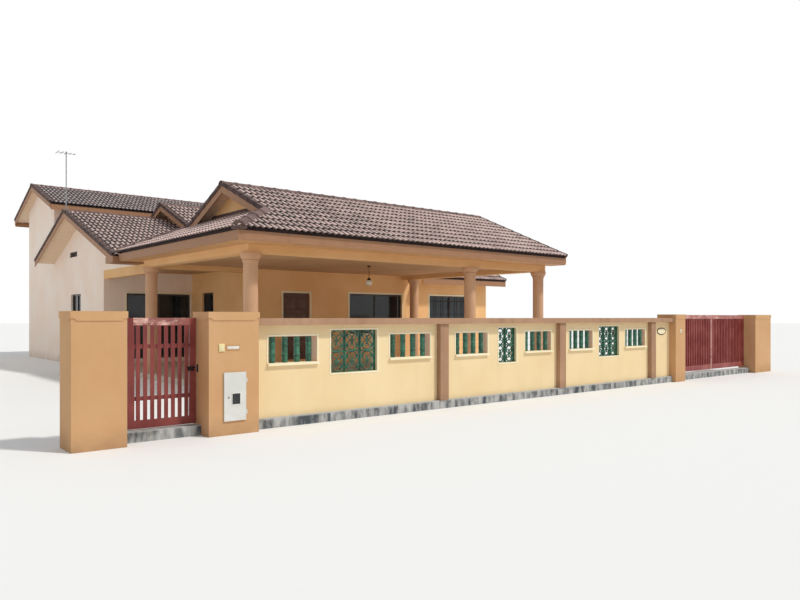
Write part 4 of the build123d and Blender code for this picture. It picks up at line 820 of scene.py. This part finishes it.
ridges = [
    roof_ridge(porch, GABLET_X - RIDGE_OUT, PORCH_RIGHT + RIDGE_OUT),
    roof_ridge(hall, HALL_LEFT - RIDGE_OUT, HALL_RIGHT + RIDGE_OUT),
    roof_ridge(wing, WING_LEFT - RIDGE_OUT, WING_RIGHT),
    roof_ridge(block, BLOCK_LEFT - RIDGE_OUT, BLOCK_RIGHT + RIDGE_OUT),
    hip_run(porch.eave_y, 1),
    hip_run(PORCH_BACK, -1),
]
finished(joined(ridges), "ridge_and_hip_tiles", "ridge_surface", "ridge_clay")

# ---- Verge tiles: an angle over each gable edge ----

VERGE_OUT = 0.02  # before and behind the eaves
VERGE_LIFT = 0.012  # the nose rests on the tile below
VERGES = (  # roof, X, side that turns down, and where its front and its back run start
    (porch, PORCH_RIGHT, 1, porch.eave_y - VERGE_OUT, FRONT_FACE),
    (porch, GABLET_X, -1, -7.40, -3.30),
    (hall, HALL_LEFT, -1, -1.60, 7.50),
    (hall, HALL_RIGHT, 1, HALL_LOW_EAVE - VERGE_OUT, HALL_BACK_EAVE + VERGE_OUT),
    (wing, WING_LEFT, -1, wing.eave_y - VERGE_OUT, BLOCK_FRONT_FACE - VERGE_OUT),
    (block, BLOCK_LEFT, -1, block.eave_y - VERGE_OUT, BLOCK_BACK_EAVE + VERGE_OUT),
    (block, BLOCK_RIGHT, 1, block.eave_y - VERGE_OUT, BLOCK_BACK_EAVE + VERGE_OUT),
)


def verge_tile(side):
    """One angle-shaped tile, nose at the origin towards -Y, turning down at the side's X."""
    length = TILE_GAUGE + 0.03
    top = squared(-0.075, 0.045, 0, length, 0.052, 0.064)
    leg = squared(0.033, 0.045, 0, length, -0.035, 0.058)
    ob = joined([top, leg])
    if side < 0:
        face_outwards(resized(ob, (-1, 1, 1)))
    edit(ob)
    pick(ob, "VERT", lambda p: p.y < 0.001)
    bpy.ops.transform.translate(value=(0, 0, VERGE_LIFT))
    leave_edit()
    return ob


def verge_run(roof, x, side, start_y):
    """Verge tiles from start_y up to the ridge, on the front or the back slope."""
    ob = verge_tile(-side if start_y > roof.ridge_y else side)
    repeated(ob, math.ceil(roof.run(start_y) / TILE_GAUGE), (0, TILE_GAUGE, 0))
    roof.lay(ob, x, x, start_y)
    cut_off(ob, *roof.ridge_cut(start_y), fill=True)
    return ob


verges = [verge_run(roof, x, side, y) for roof, x, side, *starts in VERGES for y in starts]
finished(joined(verges), "verge_tiles", "verge_surface", "roof_tiles", 30)

# ---- Board linings under the overhangs, and the flashing at the little gable's foot ----

BOARD_W = 0.145
BOARD_JOINT = 0.004
SLAB_T = 0.065
LININGS = (  # roof, X from and to, then each stretch in Y
    (block, BLOCK_LEFT + BOARD_T, BLOCK_LEFT_FACE, (block.eave_y, 9.55), (9.55, 12.55)),
    (block, BLOCK_RIGHT_FACE, BLOCK_RIGHT - BOARD_T, (block.eave_y, 9.55), (9.55, 12.55)),
    (block, BLOCK_LEFT_FACE, BLOCK_RIGHT_FACE, (6.775, BLOCK_FRONT_FACE)),
    (block, BLOCK_LEFT_FACE, BLOCK_RIGHT_FACE, (BLOCK_BACK_FACE, 12.525)),
    (hall, HALL_RIGHT_FACE, HALL_RIGHT - BOARD_T, (FRONT_FACE, 3.35), (3.35, 7.55)),
    (hall, HALL_STEP, HALL_RIGHT - BOARD_T, (HALL_LOW_EAVE + BOARD_T, FRONT_FACE)),
    (hall, BLOCK_RIGHT_FACE, HALL_RIGHT - BOARD_T, (7.55, HALL_BACK_EAVE - BOARD_T)),
    (hall, HALL_LEFT + BOARD_T, WING_RIGHT, (1.40, 3.35), (3.35, 5.30)),
    (wing, WING_LEFT + BOARD_T, BLOCK_LEFT_FACE, (wing.eave_y + BOARD_T, 3.65), (3.65, 7.55)),
    (porch, PORCH_RIGHT_FACE, PORCH_RIGHT - BOARD_T, (-8.80, -5.35), (-5.35, FRONT_FACE)),
    (porch, GABLET_X + BOARD_T, GABLET_WALL_X, (-7.20, -5.35), (-5.35, -3.50)),
)


def lining(roof, x0, x1, y0, y1):
    """Narrow boards side by side under one overhang, up the slope between y0 and y1."""
    run = (y1 - y0) / math.cos(roof.pitch)
    count = max(1, round(run / BOARD_W))
    gap = BOARD_JOINT / 2
    low = -SLAB_T - 0.011
    ob = squared(0, x1 - x0, gap, run / count - gap, low, low + 0.010, 0.003)
    repeated(ob, count, (0, run / count, 0))
    return roof.lay(ob, x0, x1, y1 if y1 > roof.ridge_y else y0)


linings = [lining(roof, x0, x1, *ys) for roof, x0, x1, *stretches in LININGS for ys in stretches]
finished(joined(linings), "overhang_linings", "lining_paint", "soffit_paint", 0)

skirt_at_wall = porch.eave_z + (GABLET_WALL_X - PORCH_LEFT) * math.tan(porch.pitch)
flashing = squared(
    *(GABLET_WALL_X - 0.022, GABLET_WALL_X + 0.002),
    *(-6.86, -3.84),
    *(skirt_at_wall - 0.02, skirt_at_wall + 0.135),
    *(0.008, 2),
)
finished(flashing, "gablet_flashing", "verge_surface", "ridge_clay", 40)

# ---- Doors, window surrounds and window bars of the house ----

# X from and to, Z from and to
FRONT_WINDOWS = ((1.60, 3.94, 1.10, 2.47), (5.30, 7.50, 1.10, 2.47))
ENTRANCE = (-1.0, 0.0, 0.30, 2.44)
TERRACE_DOOR = (-4.63, -2.47, 0.30, 2.44)
TERRACE_FACE = 1.65
STRIP_W = 0.055
STRIP_OUT = 0.016
SEAT = 0.002  # how far a strip is let into its wall


def picture_frame(x0, x1, z0, z1, width, y0, y1, with_foot=True):
    """Plaster strips round an opening: tall sides, with the head and any foot between them."""
    low = z0 - (width if with_foot else 0)
    strips = [
        squared(x0 - width, x0, y0, y1, low, z1 + width, 0.003),
        squared(x1, x1 + width, y0, y1, low, z1 + width, 0.003),
        squared(x0, x1, y0, y1, z1, z1 + width, 0.003),
    ]
    if with_foot:
        strips.append(squared(x0, x1, y0, y1, low, z0, 0.003))
    return joined(strips)


def house_surround(hole, face, with_foot):
    return picture_frame(*hole, STRIP_W, face - STRIP_OUT, face + SEAT, with_foot)


house_surrounds = [house_surround(hole, FRONT_FACE, True) for hole in FRONT_WINDOWS]
house_surrounds.append(house_surround(TERRACE_DOOR, TERRACE_FACE, False))
house_surrounds.append(house_surround(ENTRANCE, FRONT_FACE, False))
finished(joined(house_surrounds), "house_surrounds", "surround_paint", "wall_cream", 30)

UPRIGHTS = 5
BAR_Y = -2.012  # uprights before it, crossbars behind it
BAR_T = 0.006
bars = []
x0, x1, z0, z1 = FRONT_WINDOWS[1]
for number in range(1, UPRIGHTS + 1):
    x = x0 + (x1 - x0) * number / (UPRIGHTS + 1)
    bars.append(squared(x - 0.012, x + 0.012, BAR_Y - BAR_T, BAR_Y, z0, z1, 0.0015))
for z in (z0 + 0.20, (z0 + z1) / 2, z1 - 0.20):
    bars.append(squared(x0, x1, BAR_Y, BAR_Y + BAR_T, z - 0.010, z + 0.010, 0.0015))
finished(joined(bars), "window_bars", "dark_iron", "frame_paint", 30)

VENT_Y0, VENT_Y1, VENT_Z0, VENT_Z1 = 4.55, 5.42, 3.79, 3.97
VENT_BLADES = 4
VENT_STEP = 0.044
vent = [squared(-5.318, -5.312, VENT_Y0, VENT_Y1, VENT_Z0, VENT_Z1)]
for number in range(VENT_BLADES):
    blade = squared(-0.018, 0.018, VENT_Y0 + SEAT, VENT_Y1 - SEAT, -0.002, 0.002, 0.001)
    middle = (-5.334, 0, VENT_Z0 + VENT_STEP * (number + 0.5))
    vent.append(placed(blade, middle, (0, math.radians(-35), 0)))
finished(joined(vent), "gable_vent", "frame_enamel", "frame_paint", 30)

PANEL_HEIGHTS = ((0.45, 0.95), (1.20, 1.80), (1.90, 2.32))
PANEL_RISE = 0.014
DOOR_STILE = 0.10
DOOR_MULLION = 0.08
LEVER_Z = 1.36
LOCK_Z = 1.27


def door_dressing(x0, x1, face, out, hand):
    """Two columns of raised panels, a lever on its plate and a lock, on a leaf's outer face."""
    pieces = []
    middle = (x0 + x1) / 2
    raised = face + out * PANEL_RISE
    half = DOOR_MULLION / 2
    for a, b in ((x0 + DOOR_STILE, middle - half), (middle + half, x1 - DOOR_STILE)):
        for z0, z1 in PANEL_HEIGHTS:
            panel = squared(a, b, min(face, raised), max(face, raised), z0, z1)
            edit(panel)
            pick(panel, "FACE", lambda p: abs(p.y - raised) < 0.001)
            bpy.ops.mesh.inset(thickness=0.018, depth=-0.008)
            bpy.ops.mesh.inset(thickness=0.030, depth=0.007)
            leave_edit()
            pieces.append(panel)
    grip_x = x1 - 0.06 if hand > 0 else x0 + 0.06
    lever_y = face + out * 0.045
    plate_y = sorted((face, face + out * 0.006))
    furniture = [
        squared(grip_x - 0.022, grip_x + 0.022, *plate_y, 1.22, 1.42, 0.002),
        round_bar(0.009, (grip_x, face, LEVER_Z), (grip_x, face + out * 0.05, LEVER_Z)),
        round_bar(0.008, (grip_x, lever_y, LEVER_Z), (grip_x - hand * 0.12, lever_y, LEVER_Z)),
        round_bar(0.010, (grip_x, face, LOCK_Z), (grip_x, face + out * 0.012, LOCK_Z)),
    ]
    return joined(pieces), joined(furniture)


front_panels, front_furniture = door_dressing(-1.0, 0.0, -1.990, -1, 1)
back_panels, back_furniture = door_dressing(1.5, 2.4, 11.490, 1, -1)
finished(joined([front_panels, back_panels]), "door_panels", "door_varnish", "door_wood", 30)
finished(joined([front_furniture, back_furniture]), "door_furniture", "pin_steel", "pin_steel")

pulls = [
    squared(x - 0.014, x + 0.014, 1.692, 1.711, 1.15, 1.45, 0.004, 2) for x in (-3.62, -3.48)
]
finished(joined(pulls), "sliding_door_pulls", "pin_steel", "pin_steel")

# ---- Porch columns, lamp ----

COLUMN_SPOTS = ((-5.40, -8.15), (1.20, -8.15), (4.10, -8.15), (4.10, -2.55), (-5.40, -2.55))
BASE_RINGS = (
    *((0.150, 0.210), (0.215, 0.210), (0.225, 0.204)),
    *((0.232, 0.185), (0.262, 0.170), (0.270, 0.155)),
)
CAPITAL_RINGS = (
    *((2.806, 0.155), (2.812, 0.166), (2.822, 0.171), (2.850, 0.173), (2.855, 0.161)),
    *((2.866, 0.161), (2.872, 0.190), (2.882, 0.197), (2.908, 0.199), (2.914, 0.208)),
    *((2.922, 0.217), (2.962, 0.222), (3.004, 0.228), (3.010, 0.226)),
)
columns = [turned(BASE_RINGS + CAPITAL_RINGS, 40, spot) for spot in COLUMN_SPOTS]
round_columns = finished(joined(columns), "round_columns", "column_paint", "column_paint")
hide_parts("porch_columns")

LAMP_SPOT = (-0.10, -5.35)
LAMP_Z = 2.66
LAMP_R = 0.092
GALLERY_RINGS = (
    *((2.734, 0.058), (2.750, 0.060), (2.775, 0.040)),
    *((2.796, 0.024), (2.800, 0.008), (3.115, 0.008)),
)
ROSE_RINGS = ((3.112, 0.018), (3.120, 0.040), (3.138, 0.058), (3.150, 0.060))
angles = [math.radians(degree) for degree in range(-80, 61, 10)]
globe = [(LAMP_Z + LAMP_R * math.sin(angle), LAMP_R * math.cos(angle)) for angle in angles]
lamp_globe = turned(globe, 28, LAMP_SPOT)
finished(lamp_globe, "lamp_globe", "opal_glass", "lamp", 40)
lamp_fitting = joined([turned(GALLERY_RINGS, 20, LAMP_SPOT), turned(ROSE_RINGS, 24, LAMP_SPOT)])
finished(lamp_fitting, "lamp_fitting", "dark_iron", "lamp", 40)
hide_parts("porch_lamp")

# ---- Street wall: surrounds, reveals, blocks and bamboo ----

STREET_Y = -12.15
PANEL_T = 0.150
FILLING_Y = STREET_Y + PANEL_T / 2  # middle of the blocks and stalks
WINDOW_HOLES = (  # left edge and width
    *((-7.243, 0.870), (-4.882, 0.932), (-3.300, 0.865)),
    *((-1.309, 0.847), (0.175, 0.863), (2.361, 0.881)),
)
WINDOW_SILL, WINDOW_HEAD = 0.960, 1.365
SCREEN_HOLES = ((-6.106, 0.940, 3), (-2.115, 0.528, 2), (1.290, 0.815, 3))  # and blocks across
SCREEN_SILL, SCREEN_HEAD = 0.757, 1.447
SCREEN_ROWS = 2
STALKS = 4  # in each opening
SURROUND = (0.028, STREET_Y - 0.007, STREET_Y + 0.004)  # width, outer and inner face
REVEAL = (STREET_Y + 0.012, STREET_Y + PANEL_T)
REVEAL_T = 0.004

surrounds = []
reveals = []
for x, width in WINDOW_HOLES:
    surrounds.append(picture_frame(x, x + width, WINDOW_SILL, WINDOW_HEAD, *SURROUND, False))
    for edge in (x, x + width - REVEAL_T):
        reveals.append(squared(edge, edge + REVEAL_T, *REVEAL, WINDOW_SILL, WINDOW_HEAD))
    reveals.append(squared(x, x + width, *REVEAL, WINDOW_HEAD - REVEAL_T, WINDOW_HEAD))
for x, width, _ in SCREEN_HOLES:
    surrounds.append(picture_frame(x, x + width, SCREEN_SILL, SCREEN_HEAD, *SURROUND))
finished(joined(surrounds), "opening_surrounds", "surround_paint", "wall_cream", 30)
finished(joined(reveals), "opening_reveals", "reveal_paint", "coping_paint", 30)


def bamboo_stalk():
    """One cast stalk with swollen joints, standing at the origin."""
    rings = [(WINDOW_SILL, 0.046)]
    for joint in (0.30, 0.68):
        z = WINDOW_SILL + joint * (WINDOW_HEAD - WINDOW_SILL)
        rings += [(z - 0.050, 0.044), (z - 0.014, 0.047), (z - 0.005, 0.052)]
        rings += [(z, 0.047), (z + 0.006, 0.051), (z + 0.016, 0.046)]
    rings += [(WINDOW_HEAD, 0.046)]
    return turned(rings, 16)


stalk = bamboo_stalk()
stalks = []
for x, width in WINDOW_HOLES:
    for place in range(STALKS):
        spot = (x + width * (place + 0.5) / STALKS, FILLING_Y, 0)
        stalks.append(copy_of(stalk, spot, (0, 0, len(stalks) * 1.3)))
bpy.data.objects.remove(stalk)
bamboo = finished(joined(stalks), "bamboo_stalks", "green_glaze", "green_glaze", 50)
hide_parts("bamboo_balusters")


def cast_ring(radius, thick, x, z, stretch_x=1.0, stretch_z=1.0, around=24, turn=0.0):
    """A ring of the openwork, flat to the street, deeper than it is thick."""
    clear_selection()
    bpy.ops.mesh.primitive_torus_add(
        major_segments=around,
        minor_segments=6,
        major_radius=radius,
        minor_radius=thick,
        rotation=(math.pi / 2, 0, 0),
    )
    ob = resized(settle(bpy.context.object), (stretch_x, 2.4, stretch_z))
    return placed(ob, (x, 0, z), (0, turn, 0))


def openwork_block(half_w, half_h):
    """One block: square border, a ring in it, a small ring in the middle and four petals."""
    rim = 0.013
    inset = 0.018
    depth = (-0.032, 0.032)
    pieces = [
        squared(-half_w, -half_w + rim, *depth, -half_h, half_h, 0.004),
        squared(half_w - rim, half_w, *depth, -half_h, half_h, 0.004),
        squared(-half_w, half_w, *depth, -half_h, -half_h + rim, 0.004),
        squared(-half_w, half_w, *depth, half_h - rim, half_h, 0.004),
        cast_ring(half_w - inset, 0.0085, 0, 0, 1.0, (half_h - inset) / (half_w - inset), 32),
        cast_ring(half_w * 0.14, 0.008, 0, 0, 1.0, half_h / half_w, 12),
    ]
    for turn in range(4):
        angle = math.radians(45 + 90 * turn)
        x, z = half_w * 0.44 * math.cos(angle), half_h * 0.44 * math.sin(angle)
        pieces.append(cast_ring(half_w * 0.25, 0.007, x, z, 1.35, 0.85, 16, -angle))
    return joined(pieces)


blocks_laid = []
for x, width, blocks in SCREEN_HOLES:
    half_w = width / blocks / 2
    half_h = (SCREEN_HEAD - SCREEN_SILL) / SCREEN_ROWS / 2
    pattern = openwork_block(half_w, half_h)
    for column in range(blocks):
        for row in range(SCREEN_ROWS):
            spot = (x + half_w * (2 * column + 1), FILLING_Y, SCREEN_SILL + half_h * (2 * row + 1))
            blocks_laid.append(copy_of(pattern, spot))
    bpy.data.objects.remove(pattern)
openwork = finished(joined(blocks_laid), "openwork_blocks", "green_glaze", "green_glaze", 50)
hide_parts("breeze_screens")

# ---- Meter door, gate fittings ----

TO_STREET = (math.pi / 2, 0, 0)  # turns what stands up so that it points at the street
METER_FACE = -12.423
METER_WINDOW = (-7.965, -7.845, 0.430, 0.580)  # X from and to, Z from and to
METER_LOCK = (-8.020, METER_FACE + 0.001, 0.529)
meter = {"slot": "meter_metal", "body": "meter_door"}

meter_rim = picture_frame(*METER_WINDOW, 0.012, METER_FACE - 0.006, METER_FACE + SEAT)
finished(meter_rim, "meter_window_rim", "white_plastic", smooth=30, **meter)
x0, x1, z0, z1 = METER_WINDOW
meter_glass = squared(x0, x1, METER_FACE - 0.003, METER_FACE + SEAT, z0, z1, 0.001)
finished(meter_glass, "meter_window", "dark_window", smooth=30, **meter)
lock = turned(((0, 0.011), (0.004, 0.011), (0.006, 0.009), (0.010, 0.009), (0.011, 0.006)), 16)
finished(placed(lock, METER_LOCK, TO_STREET), "meter_lock", "pin_steel", **meter)

PIER_FACE, RIGHT_PIER_FACE = -12.400, -12.330
BELL_BUTTON = (-8.119, PIER_FACE - 0.017, 1.222)

bell_base = squared(-8.162, -8.076, PIER_FACE - 0.016, PIER_FACE, 1.175, 1.285, 0.006, 3)
bell_plate = squared(
    -8.155, -8.083, PIER_FACE - 0.018, PIER_FACE - 0.010, 1.182, 1.278, 0.003, 2
)
bell_case = joined([bell_base, bell_plate])
finished(bell_case, "bell_case", "cream_plastic", "fitting_plastic")
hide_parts("pier_fittings")
bell_button = turned(((0, 0.014), (0.002, 0.014), (0.004, 0.012), (0.005, 0.008)), 20)
placed(bell_button, BELL_BUTTON, TO_STREET)
finished(bell_button, "bell_button", "white_plastic", "fitting_plastic")

slot_frame = picture_frame(-8.036, -7.850, 1.206, 1.252, 0.014, PIER_FACE - 0.010, PIER_FACE)
finished(slot_frame, "letter_slot_frame", "pier_paint", "pier_paint")
slot_flap = squared(-8.034, -7.852, PIER_FACE - 0.009, PIER_FACE - 0.001, 1.209, 1.247, 0.0025, 2)
finished(slot_flap, "letter_slot_flap", "white_plastic", "fitting_plastic")

switch = [
    squared(4.610, 4.680, RIGHT_PIER_FACE - 0.010, RIGHT_PIER_FACE, 1.258, 1.348, 0.004, 2),
    squared(4.628, 4.662, RIGHT_PIER_FACE - 0.016, RIGHT_PIER_FACE - 0.008, 1.280, 1.326, 0.003, 2),
]
finished(joined(switch), "gate_switch", "white_plastic", "fitting_plastic")


def oval(radius_x, radius_z, depth, dome):
    """A flat oval on the wall's last panel, with a step in its face."""
    clear_selection()
    bpy.ops.mesh.primitive_cylinder_add(vertices=40, radius=1, depth=depth, rotation=TO_STREET)
    ob = resized(settle(bpy.context.object), (radius_x, 1, radius_z))
    edit(ob)
    pick(ob, "FACE", lambda p: p.y < -depth / 2 + 0.0005)
    bpy.ops.mesh.inset(thickness=0.012, depth=dome)
    leave_edit()
    return placed(ob, (4.008, STREET_Y - depth / 2, 1.3005))


finished(oval(0.206, 0.0895, 0.008, -0.002), "plate_rim", "dark_iron", "fitting_plastic")
finished(oval(0.182, 0.068, 0.010, 0.0), "plate_face", "surround_paint", "fitting_plastic")

# ---- Latch of the walk gate ----

LEAF_FACE = -12.015
BOLT_Z = 0.945
latch = [
    squared(-8.440, -8.360, LEAF_FACE - 0.020, LEAF_FACE, 0.900, 0.965, 0.004, 2),
    round_bar(0.008, (-8.465, LEAF_FACE - 0.014, BOLT_Z), (-8.335, LEAF_FACE - 0.014, BOLT_Z)),
    round_bar(0.006, (-8.405, LEAF_FACE - 0.016, BOLT_Z), (-8.405, LEAF_FACE - 0.045, BOLT_Z), 10),
    squared(-8.432, -8.368, LEAF_FACE - 0.032, LEAF_FACE - 0.018, 0.905, 0.925, 0.003, 2),
]
finished(joined(latch), "walk_gate_latch", "dark_iron", "pin_steel", body="pedestrian_gate")
keeper = squared(-8.308, -8.301, LEAF_FACE - 0.040, LEAF_FACE + 0.020, 0.880, 0.990, 0.002, 2)
finished(keeper, "latch_keeper", "dark_iron", "pin_steel")

# ---- Light, floor and camera ----

FLOOR_DROP = 0.001  # keeps the floor clear of the footings
FLOOR_TONES = ((238.614, 238.614, 237.386), (241.046, 241.046, 239.834))
SKY_COLOUR, SKY_STRENGTH = (0.92, 0.96, 1.0, 1), 0.55
SUN_COLOUR, SUN_STRENGTH, SUN_SPREAD = (1.0, 0.97, 0.92), 2.05, 5
SUN_RAYS = (-0.42, 0.62, -0.95)
EYE = (-12.5, -21.45, 1.65)
VIEW_X, VIEW_Y = 0.6447, 0.7645  # the level direction of the view
LENS, LENS_SHIFT = 31.5, 0.0219

bpy.ops.mesh.primitive_plane_add(size=400, location=(0, 0, -FLOOR_DROP))
ground = settle(bpy.context.object)
ground.name = "studio_floor"
floor_surface = Surface("studio_floor")
floor_surface.colour(floor_surface.mix(floor_surface.noise(0.05, 2), *FLOOR_TONES))
floor_surface.feed(floor_surface.shader, {"Roughness": 0.95})
ground.data.materials.append(floor_surface.material)

world = bpy.data.worlds.new("studio")
bpy.context.scene.world = world
world.use_nodes = True
nodes, links = world.node_tree.nodes, world.node_tree.links
nodes.clear()


def background(colour, strength):
    node = nodes.new("ShaderNodeBackground")
    node.inputs["Color"].default_value = colour
    node.inputs["Strength"].default_value = strength
    return node.outputs[0]


path = nodes.new("ShaderNodeLightPath")
shown = path.outputs["Is Camera Ray"]
for kind in ("Is Glossy Ray", "Is Transmission Ray"):
    either = nodes.new("ShaderNodeMath")
    either.operation = "MAXIMUM"
    links.new(shown, either.inputs[0])
    links.new(path.outputs[kind], either.inputs[1])
    shown = either.outputs[0]
blend = nodes.new("ShaderNodeMixShader")
links.new(shown, blend.inputs["Fac"])
links.new(background(SKY_COLOUR, SKY_STRENGTH), blend.inputs[1])
links.new(background((1, 1, 1, 1), 1.0), blend.inputs[2])
links.new(blend.outputs[0], nodes.new("ShaderNodeOutputWorld").inputs["Surface"])

bpy.ops.object.light_add(type="SUN", location=(0, 0, 30))
sun = bpy.context.object
sun.data.energy = SUN_STRENGTH
sun.data.angle = math.radians(SUN_SPREAD)
sun.data.color = SUN_COLOUR
sun.rotation_euler = Vector(SUN_RAYS).to_track_quat("-Z", "Y").to_euler()

camera_data = bpy.data.cameras.new("street_view")
camera_data.sensor_width = 36
camera_data.lens = LENS
camera_data.shift_y = LENS_SHIFT
camera_data.clip_end = 500
camera = bpy.data.objects.new("street_view", camera_data)
bpy.context.scene.collection.objects.link(camera)
camera.location = EYE
camera.rotation_euler = (math.pi / 2, 0, -math.atan2(VIEW_X, VIEW_Y))
bpy.context.scene.camera = camera
bpy.context.scene.view_settings.view_transform = "Standard"
